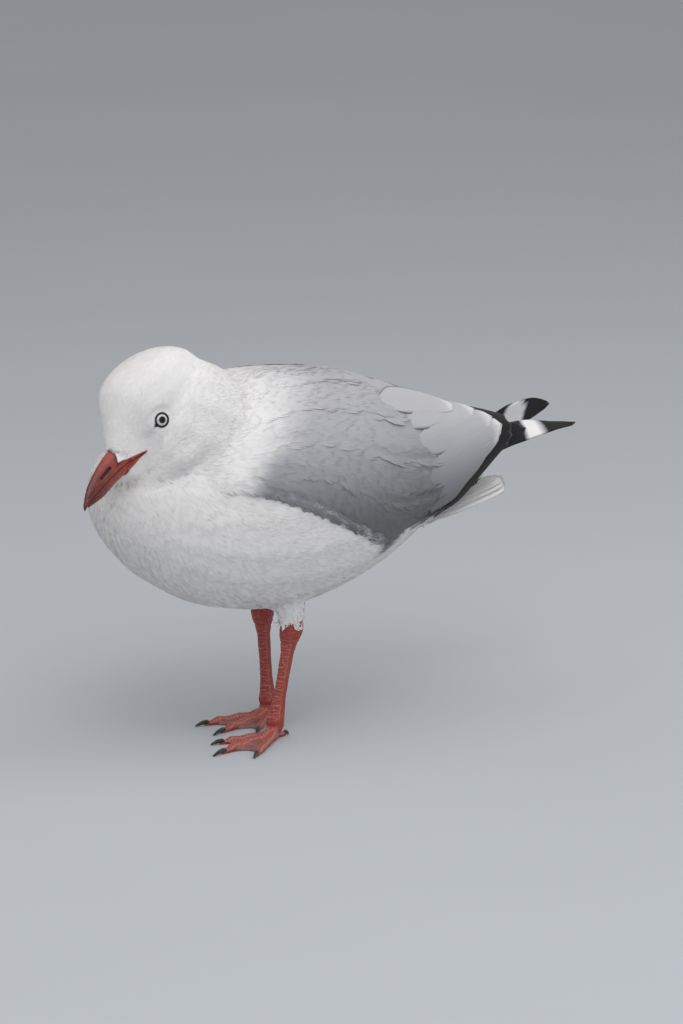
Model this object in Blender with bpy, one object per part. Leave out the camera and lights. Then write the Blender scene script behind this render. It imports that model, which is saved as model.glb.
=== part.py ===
"""A standing silver gull at life size: head turned to its left and bent down, wings folded.

Run it with: blender --background --python part.py
Metres, +Z up. The bird faces -Y, its left side is +X, and its soles stand on z = 0.
Every piece is modelled about the stance, the point of the floor between the feet, and hangs
from an empty there, which puts the middle of the bird's outline over the origin.
"""

from math import copysign, cos, pi, radians, sin

import bmesh
import bpy
from mathutils import Matrix, Vector

MM = 0.001
GAP = 0.3 * MM  # clearance between neighbouring solids
LEFT = Vector((1, 0, 0))
UP = Vector((0, 0, 1))
TOE_SIDE = Vector((0.6, 0.8, 0))  # any level direction that no toe runs along
BODY_POWER = 2.15  # superellipse power of the trunk: a little fuller than an ellipse
HEAD_POWER = 2.4  # and of the head, whose crown is broader
MIDDLE_TO_STANCE = -35 * MM  # along Y, from the middle of the outline to the stance

# Head pose: the middle of the eye line, and how far the head turns left, bends down and tilts
HEAD_CENTRE = Vector((14, -87, 176.5)) * MM
HEAD_TURN = radians(19)
HEAD_BEND = radians(30.5)
HEAD_TILT = radians(11)

# Trunk, from the breast to the rump: y, top, bottom, half width (mm)
TRUNK = (
    (-101, 128, 128, 0),
    (-97, 148.5, 114, 20),
    (-88, 159, 102.5, 35),
    (-73, 168, 87.5, 48),
    (-50, 180, 74, 56),
    (-24, 189, 67, 60),
    (5, 191, 66, 59),
    (35, 187, 71, 54),
    (62, 178, 81, 45),
    (86, 165, 94, 34),
    (106, 150, 105, 24),
    (120, 138, 112, 15),
    (126, 129, 119, 0),
)
# Neck, from inside the shoulders to inside the head: x, y, z, half width, half height (mm)
NECK = (
    (0, -30, 150, 0, 0),
    (1, -34, 152, 32, 32),
    (5, -48, 160, 39, 40),
    (9, -64, 170, 37, 40),
    (12, -77, 178, 28, 32),
    (11, -88, 184, 0, 0),
)
# Head, along its own axis from the nape to the bill: x, top, bottom, half width (mm)
HEAD = (
    (-49, 6, -2, 0),
    (-45, 13, -14, 14),
    (-34, 20.8, -28, 21.2),
    (-18, 25.8, -34, 24.4),
    (-4, 26.6, -33, 22.9),
    (6, 24.2, -29, 18.9),
    (14, 17, -24.5, 11.8),
    (21, 8.6, -20, 7.6),
    (26, 2, -16, 4.8),
    (29, -4, -10, 0),
)
EYE_RADIUS = 5 * MM
EYE_SIDE = 15.9 * MM  # of each eye's centre from the head's middle plane

# Bills along the head's axis: x, cutting edge, height of the ridge or keel from it, half width (mm)
BILL_UPPER = (
    (8, -9.5, 1, 8.4),
    (12, -9.2, 3.5, 8.9),
    (17, -8.8, 6.4, 8.1),
    (23, -8.4, 8.6, 6.2),
    (30, -8, 8.7, 4.7),
    (38, -8, 7.6, 3.7),
    (46, -8.3, 5.9, 2.8),
    (52, -9, 4.2, 2),
    (57, -10.2, 2, 1),
    (58.5, -11.2, 0.6, 0.3),
)
BILL_LOWER = (
    (8, -9.5, -1.4, 8),
    (12, -9.2, -2.6, 8.3),
    (17, -8.8, -4.6, 7.4),
    (24, -8.35, -5.6, 5.5),
    (34, -8, -5.2, 3.9),
    (43, -8.2, -5.2, 3),
    (50, -8.8, -3.4, 2),
    (55.5, -9.9, -1, 0.7),
)

# What a folded wing lies on, as the trunk is given, and the arc of it that the left wing covers:
# y, top, bottom, half width (mm), low and high edge (degrees up from the side), lift, depth (mm)
WING = (
    (-62, 175, 73, 54, 22, 44, 0.6, 0.6),
    (-54, 180, 72, 57, 18, 58, 2.5, 2),
    (-36, 187, 68, 60, 11, 72, 4, 3),
    (-10, 192, 66, 60, 0, 83, 4.5, 3),
    (20, 191, 67, 57, -14, 88, 4.5, 3),
    (45, 188, 74, 51, -30, 89.6, 4.5, 3),
    (68, 180, 85, 42, -38, 89.5, 4, 3),
    (90, 171, 95, 36, -40, 89.4, 3.5, 2),
    (112, 162, 108, 28, -38, 89.2, 3, 1.5),
    (132, 157, 122, 20, -34, 88, 2, 1.5),
    (145, 154, 131, 15.5, -32, 82, 1.2, 0.8),
    (152, 152, 136, 13, -24, 76, 0.6, 0.3),
)
# Folded primaries: x, y, z of the middle, half width, half thickness (mm), and the slope up
# towards the bird's middle of the vane (degrees)
PRIMARIES = {
    "left": (
        (21, 97, 119, 3, 1.2, 80),
        (19, 107, 125, 6, 1.6, 80),
        (16, 123, 132, 7, 1.6, 80),
        (9.5, 145, 140, 6.5, 1.3, 78),
        (8, 165, 143, 6, 1.1, 50),
        (6.5, 183, 143, 4.5, 0.8, 28),
        (4, 200, 142, 0.8, 0.4, 20),
    ),
    "right": (
        (-21, 97, 119, 3, 1.2, 80),
        (-19, 107, 125, 6, 1.6, 80),
        (-16, 123, 132, 7, 1.6, 80),
        (-8, 145, 140, 6.5, 1.2, 80),
        (-12, 168, 146, 7, 1.1, 72),
        (-14.5, 186, 149.5, 6, 0.8, 66),
        (-15, 196, 150.5, 1, 0.4, 66),
    ),
}
# Tail: y, z of its middle, half width, half thickness (mm)
TAIL = (
    (84, 104, 12, 4),
    (100, 106, 17, 4),
    (118, 111, 19, 2.4),
    (134, 116, 21, 1.2),
    (146, 120, 21, 0.6),
)

# Legs: each hock and ankle on the floor plan (mm), and how far the foot turns left (degrees)
ANKLE_HEIGHT = 5
HOCK_HEIGHT = 55
LEG_TOP = 70
LEGS = {
    "left": {"hock": (22, 1), "ankle": (20, -8), "turn": 16},
    "right": {"hock": (-20, 12), "ankle": (-18, 14), "turn": 20},
}
# Tarsus: height, half width, half depth (mm)
TARSUS = (
    (4, 3.6, 3.8),
    (7, 4.6, 5),
    (12, 4, 4.4),
    (22, 2.9, 3.4),
    (34, 2.8, 3.3),
    (45, 3.4, 3.9),
    (53, 4.6, 5.2),
    (59, 5.2, 5.9),
    (65, 4.6, 5.2),
    (LEG_TOP, 3.6, 4),
)
# Feathered thigh round the top of each leg: height, half size (mm)
THIGH = ((80, 0), (77, 6.5), (71, 9), (65, 8), (60.5, 6.4))
# Toes: turn from the foot's own heading towards the bird's outside (degrees), length, half width
TOES = {"outer": (26, 38, 2.3), "middle": (0, 42, 2.4), "inner": (-26, 31, 2.1), "hind": (172, 8, 1.5)}
CLAW_LENGTH = {"outer": 5.5, "middle": 7, "inner": 5, "hind": 2}
WEBS = (("outer", "middle"), ("middle", "inner"))
# Swelling of a toe's joints along it: share of its length, share of its half width
TOE_JOINTS = ((0, 1.5), (0.12, 1.4), (0.3, 1), (0.45, 1.12), (0.62, 0.9), (0.78, 1.02), (1, 0.35))
TOE_RISE = 0.82  # height of a toe's middle line over the floor, as a share of its half width
WEB_SPAN = (0.08, 0.34, 0.61, 0.88)  # stations of a web along its toes
WEB_TOP, WEB_BOTTOM = 1.1, -0.4  # mm; the part below the floor is cut away
WEB_SAG = 0.2  # how far the free edge draws in between two toes
# A claw: share of its length past the toe's end, height, half size
CLAW = ((-0.45, 2, 0.5), (-0.3, 2.1, 1), (0, 2, 1.1), (0.35, 1.8, 0.9), (0.7, 1.2, 0.65), (1, 0.6, 0.3))


def clear_scene():
    """Remove what the startup scene holds."""
    for item in list(bpy.data.objects):
        bpy.data.objects.remove(item)


def make_collection(name):
    """A new collection under the scene's own."""
    collection = bpy.data.collections.new(name)
    bpy.context.scene.collection.children.link(collection)
    return collection


def make_material(name, colour, roughness):
    """A plain Principled material; colour is linear red, green and blue."""
    material = bpy.data.materials.new(name)
    material.use_nodes = True
    shader = material.node_tree.nodes["Principled BSDF"]
    shader.inputs["Base Color"].default_value = (*colour, 1)
    shader.inputs["Roughness"].default_value = roughness
    shader.inputs["Metallic"].default_value = 0
    material.diffuse_color = (*colour, 1)
    return material


def spline(table, steps):
    """Rows of a station table with `steps` rows from each to the next, on a Catmull-Rom curve."""
    rows = [Vector(row) for row in table]
    rows = [2 * rows[0] - rows[1], *rows, 2 * rows[-1] - rows[-2]]
    result = []
    for a, b, c, d in zip(rows, rows[1:], rows[2:], rows[3:]):
        for step in range(steps):
            t = step / steps
            result.append(
                0.5 * (2 * b + (c - a) * t + (2 * a - 5 * b + 4 * c - d) * t**2
                       + (3 * b - a - 3 * c + d) * t**3)
            )
    return result + [rows[-2]]


def oval(centre, across, rise, half_width, half_height, power, count):
    """Superellipse ring round a centre, from its half sizes along `across` and `rise`."""
    ring = []
    for step in range(count):
        turn = 2 * pi * step / count
        c, s = cos(turn), sin(turn)
        x = copysign(abs(c) ** (2 / power), c) * half_width
        z = copysign(abs(s) ** (2 / power), s) * half_height
        ring.append(centre + across * x + rise * z)
    return ring


def loft(rings):
    """Mesh through rings of equal count; a ring drawn in to one point closes an end."""
    mesh = bmesh.new()
    loops = []
    for ring in rings:
        if max((point - ring[0]).length for point in ring) < 0.01 * MM:
            ring = ring[:1]
        loops.append([mesh.verts.new(point) for point in ring])
    for near, far in zip(loops, loops[1:]):
        count = max(len(near), len(far))
        for i in range(count):
            j = (i + 1) % count
            corners = [near[i % len(near)], near[j % len(near)], far[j % len(far)], far[i % len(far)]]
            mesh.faces.new(list(dict.fromkeys(corners)))
    for end in (loops[0], loops[-1]):
        if len(end) > 1:
            mesh.faces.new(end)
    bmesh.ops.triangulate(mesh, faces=mesh.faces)
    bmesh.ops.recalc_face_normals(mesh, faces=mesh.faces)
    return mesh


class Bird:
    """The collections, the stance empty and the materials that the pieces share."""

    def __init__(self):
        self.parts = make_collection("silver_gull")
        self.cutters = make_collection("cutters")
        self.stance = bpy.data.objects.new("stance", None)
        self.stance.location.y = MIDDLE_TO_STANCE
        self.parts.objects.link(self.stance)

    def add(self, name, mesh, material, cutter=False):
        """A named object from a bmesh, hung from the stance; the bmesh is freed."""
        data = bpy.data.meshes.new(name)
        mesh.to_mesh(data)
        mesh.free()
        item = bpy.data.objects.new(name, data)
        item.parent = self.stance
        (self.cutters if cutter else self.parts).objects.link(item)
        if cutter:
            item.hide_render = True
            item.display_type = "WIRE"
        else:
            data.materials.append(material)
            data.shade_smooth()
            data.set_sharp_from_angle(angle=radians(50))
        return item

    def cut(self, item, cutter, swell=GAP):
        """Cut the item with a copy of another, swollen by the clearance."""
        name = f"{cutter.name}_swollen"
        tool = self.cutters.objects.get(name)
        if tool is None:
            mesh = bmesh.new()
            mesh.from_mesh(cutter.data)
            mesh.normal_update()
            moves = [vert.normal * min(vert.calc_shell_factor(), 2) * swell for vert in mesh.verts]
            for vert, move in zip(mesh.verts, moves):
                vert.co += move
            tool = self.add(name, mesh, None, cutter=True)
        difference = item.modifiers.new(name, "BOOLEAN")
        difference.operation = "DIFFERENCE"
        difference.object = tool


def head_frame():
    """Matrix of the head's own axes: forward, left, up, about the middle of the eye line."""
    forward = Vector((sin(HEAD_TURN) * cos(HEAD_BEND), -cos(HEAD_TURN) * cos(HEAD_BEND), -sin(HEAD_BEND)))
    level = Vector((cos(HEAD_TURN), sin(HEAD_TURN), 0))
    rise = forward.cross(level)
    left = level * cos(HEAD_TILT) + rise * sin(HEAD_TILT)
    up = rise * cos(HEAD_TILT) - level * sin(HEAD_TILT)
    return Matrix.Translation(HEAD_CENTRE) @ Matrix((forward, left, up)).transposed().to_4x4()


def body_rings(table, steps, count, power):
    """Rings across the Y axis from rows of y, top, bottom and half width."""
    rings = []
    for y, top, bottom, half_width in spline(table, steps):
        centre = Vector((0, y, (top + bottom) / 2)) * MM
        half_height = (top - bottom) / 2 * MM
        rings.append(oval(centre, LEFT, UP, half_width * MM, half_height, power, count))
    return rings


def head_rings(table, steps, count, power):
    """Rings across the head's own axis from rows of x, top, bottom and half width."""
    frame = head_frame()
    turn = frame.to_3x3()
    rings = []
    for x, top, bottom, half_width in spline(table, steps):
        centre = frame @ (Vector((x, 0, (top + bottom) / 2)) * MM)
        half_height = (top - bottom) / 2 * MM
        rings.append(oval(centre, turn.col[1], turn.col[2], half_width * MM, half_height, power, count))
    return rings


def bill_rings(table, steps, count=8):
    """Rings of half a bill: an arch over (or, with a negative height, under) its cutting edge."""
    frame = head_frame()
    rings = []
    for x, edge, height, half_width in spline(table, steps):
        edge += copysign(GAP / 2 / MM, height)
        ring = []
        for step in range(count + 1):
            turn = pi * step / count
            place = Vector((x, cos(turn) * half_width, edge + sin(turn) * height))
            ring.append(frame @ (place * MM))
        rings.append(ring)
    return rings


def tube_rings(table, steps, count, across):
    """Rings along a bent line from rows of x, y, z, half size across it and half size over it."""
    rows = spline(table, steps)
    rings = []
    for i, row in enumerate(rows):
        before, after = rows[max(i - 1, 0)], rows[min(i + 1, len(rows) - 1)]
        along = Vector((after - before)[:3]).normalized()
        side = (across - along * across.dot(along)).normalized()
        rise = along.cross(side).normalized()
        rings.append(oval(Vector(row[:3]) * MM, side, rise, row[3] * MM, row[4] * MM, 2, count))
    return rings


def blade_rings(table, side, steps=2, count=8):
    """Rings across the Y axis of a blade that slopes up towards the bird's middle."""
    rings = []
    for x, y, z, half_width, half_thickness, slope in spline(table, steps):
        turn = radians(slope)
        across = Vector((-side * cos(turn), 0, sin(turn)))
        rise = Vector((side * sin(turn), 0, cos(turn)))
        rings.append(oval(Vector((x, y, z)) * MM, across, rise, half_width * MM,
                          half_thickness * MM, 2, count))
    return rings


def wing_rings(side, steps=2, count=5):
    """Rings of a folded wing: an arc lifted off what it lies on, and one sunk into it."""
    rings = []
    for y, top, bottom, half_width, low, high, lift, depth in spline(WING, steps):
        half_height = (top - bottom) / 2
        middle = (top + bottom) / 2
        outer, inner = [], []
        for step in range(count + 1):
            t = step / count
            turn = radians(low + (high - low) * t)
            swell = (4 * t * (1 - t)) ** 0.5
            foot = Vector((cos(turn) * half_width, sin(turn) * half_height))
            out = Vector((cos(turn) / half_width, sin(turn) / half_height)).normalized()
            for ring, reach in ((outer, lift * (0.35 + 0.65 * swell)), (inner, -depth * swell - 0.3)):
                place = foot + out * reach
                ring.append(Vector((side * max(place.x, 0.15), y, middle + place.y)) * MM)
        rings.append(outer + inner[::-1])
    return rings


def make_trunk(bird, material):
    """The trunk, with the breast, belly and rump."""
    return bird.add("trunk", loft(body_rings(TRUNK, 2, 20, BODY_POWER)), material)


def make_neck(bird, material):
    """The short neck between the shoulders and the head."""
    return bird.add("neck", loft(tube_rings(NECK, 2, 14, LEFT)), material)


def make_head(bird, material):
    """The head without eyes and bill."""
    return bird.add("head", loft(head_rings(HEAD, 2, 16, HEAD_POWER)), material)


def make_eye(bird, name, side, material):
    """An eyeball, its pole turned outward."""
    mesh = bmesh.new()
    place = head_frame() @ Matrix.Translation((0, side * EYE_SIDE, 0))
    place @= Matrix.Rotation(-side * pi / 2, 4, "X")
    bmesh.ops.create_uvsphere(mesh, u_segments=10, v_segments=7, radius=EYE_RADIUS, matrix=place)
    return bird.add(name, mesh, material)


def make_tail(bird, material):
    """The closed tail, cocked up a little."""
    rings = []
    for y, z, half_width, half_thickness in spline(TAIL, 2):
        rings.append(oval(Vector((0, y, z)) * MM, LEFT, UP, half_width * MM, half_thickness * MM, 2.3, 16))
    return bird.add("tail", loft(rings), material)


def make_leg(bird, side_name, material):
    """A bare leg from inside the belly's feathers to the ankle, with its swollen hock."""
    leg = LEGS[side_name]
    ankle, hock = Vector(leg["ankle"]), Vector(leg["hock"])
    rows = []
    for height, half_width, half_depth in TARSUS:
        place = ankle + (hock - ankle) * ((height - ANKLE_HEIGHT) / (HOCK_HEIGHT - ANKLE_HEIGHT))
        rows.append((place.x, place.y, height, half_width, half_depth))
    return bird.add(f"tarsus_{side_name}", loft(tube_rings(rows, 1, 10, LEFT)), material)


def make_thigh(bird, side_name, material):
    """The feathered thigh that ends in a ragged cuff above the hock."""
    place = LEGS[side_name]["hock"]
    rows = [(*place, height, size, size) for height, size in THIGH]
    return bird.add(f"thigh_{side_name}", loft(tube_rings(rows, 1, 10, LEFT)), material)


def toe_line(side_name, toe, reach):
    """A place on the floor plan along a toe, `reach` millimetres from the foot's joint."""
    side = 1 if side_name == "left" else -1
    leg = LEGS[side_name]
    heading = radians(leg["turn"] + side * TOES[toe][0])
    return Vector(leg["ankle"]) + Vector((sin(heading), -cos(heading))) * reach


def make_foot(bird, side_name, material):
    """A webbed foot: four toes, their webs and the joint, made one and flat underneath."""
    pieces = bmesh.new()
    scratch = bpy.data.meshes.new("scratch")

    def take(rings):
        part = loft(rings)
        part.to_mesh(scratch)
        part.free()
        pieces.from_mesh(scratch)

    for toe, (_, length, half_width) in TOES.items():
        rows = []
        for share, swell in TOE_JOINTS:
            place = toe_line(side_name, toe, length * share)
            size = half_width * swell
            rows.append((place.x, place.y, size * TOE_RISE, size, size))
        take(tube_rings(rows, 1, 6, TOE_SIDE))
    for first, second in WEBS:
        rings = []
        for share in WEB_SPAN:
            ends = [toe_line(side_name, toe, TOES[toe][1] * share) for toe in (first, second)]
            joint = Vector(LEGS[side_name]["ankle"])
            upper, lower = [], []
            for i in range(4):
                t = i / 3
                place = ends[0] + (ends[1] - ends[0]) * t
                place -= (place - joint) * (WEB_SAG * share * 4 * t * (1 - t))
                upper.append(Vector((place.x, place.y, WEB_TOP)) * MM)
                lower.append(Vector((place.x, place.y, WEB_BOTTOM)) * MM)
            rings.append(upper + lower[::-1])
        take(rings)
    foot = bird.add(f"foot_{side_name}", pieces, material)
    floor = bmesh.new()
    bmesh.ops.create_cube(floor, size=1)
    bmesh.ops.scale(floor, vec=(0.3, 0.3, 0.02), verts=floor.verts)
    bmesh.ops.translate(floor, vec=(0, 0, -0.01), verts=floor.verts)
    below = bird.add(f"below_{side_name}", floor, None, cutter=True)
    flatten = foot.modifiers.new("flatten", "BOOLEAN")
    flatten.operation = "DIFFERENCE"
    flatten.use_self = True
    flatten.object = below
    bpy.data.meshes.remove(scratch)
    return foot


def make_claw(bird, side_name, toe, material):
    """A claw, bent down from a toe's end to the floor."""
    _, length, _ = TOES[toe]
    reach = CLAW_LENGTH[toe]
    rows = []
    for share, height, size in CLAW:
        place = toe_line(side_name, toe, length + reach * share)
        rows.append((place.x, place.y, height, size, size))
    return bird.add(f"claw_{side_name}_{toe}", loft(tube_rings(rows, 1, 6, TOE_SIDE)), material)


def main():
    """Model every piece, then part each from its neighbours."""
    clear_scene()
    bird = Bird()
    white = make_material("white_plumage", (0.78, 0.77, 0.76), 0.8)
    grey = make_material("grey_plumage", (0.32, 0.32, 0.34), 0.7)
    black = make_material("black_plumage", (0.02, 0.02, 0.02), 0.6)
    red = make_material("red_horn", (0.35, 0.04, 0.02), 0.45)
    skin = make_material("red_leg_skin", (0.4, 0.03, 0.02), 0.5)
    horn = make_material("black_horn", (0.02, 0.018, 0.016), 0.4)
    wet = make_material("eye", (0.6, 0.6, 0.58), 0.1)

    trunk = make_trunk(bird, white)
    neck = make_neck(bird, white)
    head = make_head(bird, white)
    tail = make_tail(bird, white)
    upper = bird.add("bill_upper", loft(bill_rings(BILL_UPPER, 2)), red)
    lower = bird.add("bill_lower", loft(bill_rings(BILL_LOWER, 2)), red)
    eyes = [make_eye(bird, "eye_left", 1, wet), make_eye(bird, "eye_right", -1, wet)]
    wings = [
        bird.add("wing_left", loft(wing_rings(1)), grey),
        bird.add("wing_right", loft(wing_rings(-1)), grey),
    ]
    primaries = [
        bird.add("primaries_left", loft(blade_rings(PRIMARIES["left"], 1)), black),
        bird.add("primaries_right", loft(blade_rings(PRIMARIES["right"], -1)), black),
    ]
    legs = {name: make_leg(bird, name, skin) for name in LEGS}
    thighs = {name: make_thigh(bird, name, white) for name in LEGS}
    feet = {name: make_foot(bird, name, skin) for name in LEGS}
    claws = {name: [make_claw(bird, name, toe, horn) for toe in TOES] for name in LEGS}

    for piece in (upper, lower, *eyes):
        bird.cut(head, piece)
    for piece in (head, lower):
        bird.cut(neck, piece)
        bird.cut(trunk, piece)
    for piece in (*thighs.values(), *primaries, tail, *wings, neck):
        bird.cut(trunk, piece)
    for piece in wings:
        bird.cut(neck, piece)
    for primary in primaries:
        bird.cut(tail, primary)
    for name in LEGS:
        bird.cut(thighs[name], legs[name])
        bird.cut(feet[name], legs[name])
        for claw in claws[name]:
            bird.cut(feet[name], claw)


main()
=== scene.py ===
"""Looks of a standing silver gull: skin, plumage, bill, eyes, legs, studio and camera.

Names ending in _mm are millimetres about the stance, the floor point between the feet;
everything else is metres in the row frame. The bird faces -Y and its left side is +X.
"""

import logging
import math
from dataclasses import dataclass, field
from enum import Enum, IntEnum
from functools import partial

import bmesh
import bpy
import numpy as np
from bpy.types import Material, Mesh, Node, NodeSocket, NodeTree, Object
from mathutils import Matrix, Vector
from mathutils.bvhtree import BVHTree
from mathutils.geometry import barycentric_transform
from mathutils.kdtree import KDTree

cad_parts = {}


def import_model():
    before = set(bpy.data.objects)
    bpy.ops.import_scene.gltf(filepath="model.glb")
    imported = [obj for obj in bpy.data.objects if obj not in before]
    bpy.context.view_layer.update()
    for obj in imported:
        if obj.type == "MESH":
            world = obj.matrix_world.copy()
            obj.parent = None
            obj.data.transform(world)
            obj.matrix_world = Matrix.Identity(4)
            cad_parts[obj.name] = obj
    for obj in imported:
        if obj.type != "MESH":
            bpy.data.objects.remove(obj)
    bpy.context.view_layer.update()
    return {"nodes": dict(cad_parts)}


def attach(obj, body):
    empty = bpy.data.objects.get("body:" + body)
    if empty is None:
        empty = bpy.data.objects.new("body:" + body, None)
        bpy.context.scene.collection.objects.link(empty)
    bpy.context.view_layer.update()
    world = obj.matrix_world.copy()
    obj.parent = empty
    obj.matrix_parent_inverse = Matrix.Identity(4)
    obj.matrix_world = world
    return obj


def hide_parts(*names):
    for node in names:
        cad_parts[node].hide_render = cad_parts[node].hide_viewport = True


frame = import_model()

log = logging.getLogger("gull")
Array = np.ndarray
MM = 0.001
STANCE = np.array((0.0, -0.035, 0.0))
PIECE_TRIANGLES = 185_000


class Side(Enum):
    """Left and right of the bird: the sign of X, and the word in the names of nodes and pieces."""

    LEFT = 1
    RIGHT = -1

    def __str__(self) -> str:
        """The word in names."""
        return self.name.lower()


class Jaw(Enum):
    """The two halves of the bill, by the word in their names."""

    UPPER = "upper"
    LOWER = "lower"


class Tone(Enum):
    """Marking values that skin and coat share: white, silver grey and black plumage."""

    WHITE = 0.0
    GREY = 1.0
    BLACK = 2.0


def srgb(code: str) -> tuple[float, float, float, float]:
    """Linear red, green, blue and alpha 1 of a sRGB hex colour such as "#a0b1c2"."""
    parts = [int(code[i : i + 2], 16) / 255 for i in (1, 3, 5)]
    return (*(p / 12.92 if p <= 0.04045 else ((p + 0.055) / 1.055) ** 2.4 for p in parts), 1.0)


def world(points_mm: Array) -> Array:
    """Turn stance millimetres into row-frame metres."""
    return np.asarray(points_mm, float) * MM + STANCE


def stance_mm(points: Array) -> Array:
    """Turn row-frame metres into stance millimetres."""
    return (np.asarray(points, float) - STANCE) / MM


def ease(value: Array, low: float, high: float) -> Array:
    """Smooth step from 0 at low to 1 at high, either way round."""
    t = np.clip((value - low) / (high - low), 0, 1)
    return t * t * (3 - 2 * t)


def unit(vectors: Array) -> Array:
    """Vectors of length one along the last axis."""
    return vectors / np.maximum(np.linalg.norm(vectors, axis=-1, keepdims=True), 1e-12)


def tangent(vectors: Array, normals: Array) -> Array:
    """Unit vectors made level with the surface that has these normals."""
    return unit(vectors - normals * (vectors * normals).sum(1, keepdims=True))


def bell(value: Array, middle: float, width: float) -> Array:
    """Bell curve of height 1 at the middle, down to 1/e one width away."""
    return np.exp(-(((value - middle) / width) ** 2))


def kd_tree(points: Array) -> KDTree:
    """Search tree of points, ready to use.

    Args:
        points: Places, one to a row.

    Returns:
        The tree, which finds indices.
    """
    tree = KDTree(len(points))
    for i, point in enumerate(points.tolist()):
        tree.insert(point, i)
    tree.balance()
    return tree


def spline(table: tuple, steps: int) -> Array:
    """Rows of a table with more between them, on a Catmull-Rom curve.

    Args:
        table: Rows of numbers.
        steps: How many rows run from each row of the table to the next.

    Returns:
        The rows as an array.
    """
    rows = np.array(table, float)
    rows = np.vstack([2 * rows[0] - rows[1], rows, 2 * rows[-1] - rows[-2]])
    found = []
    for a, b, c, d in zip(rows, rows[1:], rows[2:], rows[3:]):
        bend = 2 * a - 5 * b + 4 * c - d
        twist = 3 * b - a - 3 * c + d
        for t in np.arange(steps) / steps:
            found.append(0.5 * (2 * b + (c - a) * t + bend * t**2 + twist * t**3))
    return np.array([*found, rows[-2]])


def sampled(rows: Array, where: Array, *column: Array) -> Array:
    """Rows of an array at fractional places along it.

    Args:
        rows: Array of rows.
        where: Places from 0 to the last row's index.
        column: Which column of the rows each place is in, where they have columns.

    Returns:
        One row for each place.
    """
    low = np.clip(np.floor(where).astype(int), 0, len(rows) - 2)
    before, after = rows[(low, *column)], rows[(low + 1, *column)]
    share = (where - low).reshape(low.shape + (1,) * (before.ndim - low.ndim))
    return before * (1 - share) + after * share


# ---------------------------------------------------------------- head pose, as the solids have it
HEAD_CENTRE_MM = (14, -87, 176.5)
HEAD_TURN, HEAD_BEND, HEAD_TILT = math.radians(19), math.radians(30.5), math.radians(11)


def head_frame() -> Matrix:
    """Matrix of the head's own axes, forward, left and up, about the middle of the eye line.

    Returns:
        The matrix.
    """
    level_out = math.cos(HEAD_BEND)
    forward = Vector(
        (math.sin(HEAD_TURN) * level_out, -math.cos(HEAD_TURN) * level_out, -math.sin(HEAD_BEND))
    )
    level = Vector((math.cos(HEAD_TURN), math.sin(HEAD_TURN), 0))
    rise = forward.cross(level)
    left = level * math.cos(HEAD_TILT) + rise * math.sin(HEAD_TILT)
    up = rise * math.cos(HEAD_TILT) - level * math.sin(HEAD_TILT)
    turn = Matrix((forward, left, up)).transposed().to_4x4()
    return Matrix.Translation(Vector(world(HEAD_CENTRE_MM))) @ turn


HEAD = head_frame()
HEAD_MIDDLE = np.array(HEAD.translation)
HEAD_AXES = np.array(HEAD.to_3x3())  # columns: forward, left, up


def head_mm(points: Array) -> Array:
    """Row-frame metres as millimetres forward, left and up on the head's own axes."""
    return (np.asarray(points, float) - HEAD_MIDDLE) @ HEAD_AXES / MM


def head_world(points_mm: Array) -> Array:
    """Millimetres on the head's own axes as row-frame metres."""
    return HEAD_MIDDLE + points_mm @ HEAD_AXES.T * MM


# ---------------------------------------------------------------- nodes and meshes
def wire(node: Node, links: dict | tuple) -> None:
    """Feed a node's inputs.

    Args:
        node: Node to feed.
        links: What feeds its inputs, in order or by name or index: a node for its main output,
            a socket, or a plain value.
    """
    for key, value in links.items() if isinstance(links, dict) else enumerate(links):
        if isinstance(value, Node):
            value = next(socket for socket in value.outputs if socket.enabled)
        if isinstance(value, NodeSocket):
            node.id_data.links.new(value, node.inputs[key])
        else:
            node.inputs[key].default_value = value


def add_node(tree: NodeTree, kind: str, links: dict | tuple = (), **settings) -> Node:
    """Add a shader node.

    Args:
        tree: Node tree to add to.
        kind: Node type after "ShaderNode", such as "Mix".
        links: What feeds its inputs, as wire takes it.
        settings: Properties of the node itself.

    Returns:
        The node.
    """
    node = tree.nodes.new("ShaderNode" + kind)
    for name, value in settings.items():
        setattr(node, name, value)
    wire(node, links)
    return node


def new_material(name: str, **sockets) -> tuple[Material, Node, partial]:
    """Make a Principled material with constants set on the shader's own sockets.

    Args:
        name: What the material is.
        sockets: Socket names, with underscores for spaces, and their values.

    Returns:
        The material, its shader, and add_node for its node tree.
    """
    material = bpy.data.materials.new(name)
    material.use_nodes = True
    shader = material.node_tree.nodes["Principled BSDF"]
    for key, value in sockets.items():
        shader.inputs[key.replace("_", " ")].default_value = value
    return material, shader, partial(add_node, material.node_tree)


def new_object(name: str, data: bpy.types.ID) -> Object:
    """Put new data into the scene as an object at the origin.

    Args:
        name: Name of the object.
        data: Its mesh, light or camera.

    Returns:
        The object.
    """
    item = bpy.data.objects.new(name, data)
    bpy.context.scene.collection.objects.link(item)
    return item


def mesh_object(name: str, points: Array, triangles: Array) -> Object:
    """Make an object from arrays.

    Args:
        name: Name of the object.
        points: Vertices in metres.
        triangles: Vertex indices, three to a face.

    Returns:
        The object, linked to the scene.
    """
    mesh = bpy.data.meshes.new(name)
    mesh.vertices.add(len(points))
    mesh.vertices.foreach_set("co", np.asarray(points, np.float32).ravel())
    mesh.loops.add(triangles.size)
    mesh.loops.foreach_set("vertex_index", triangles.astype(np.int32).ravel())
    mesh.polygons.add(len(triangles))
    mesh.polygons.foreach_set("loop_start", np.arange(0, triangles.size, 3, dtype=np.int32))
    mesh.polygons.foreach_set("loop_total", np.full(len(triangles), 3, np.int32))
    mesh.update(calc_edges=True)
    return new_object(name, mesh)


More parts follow.
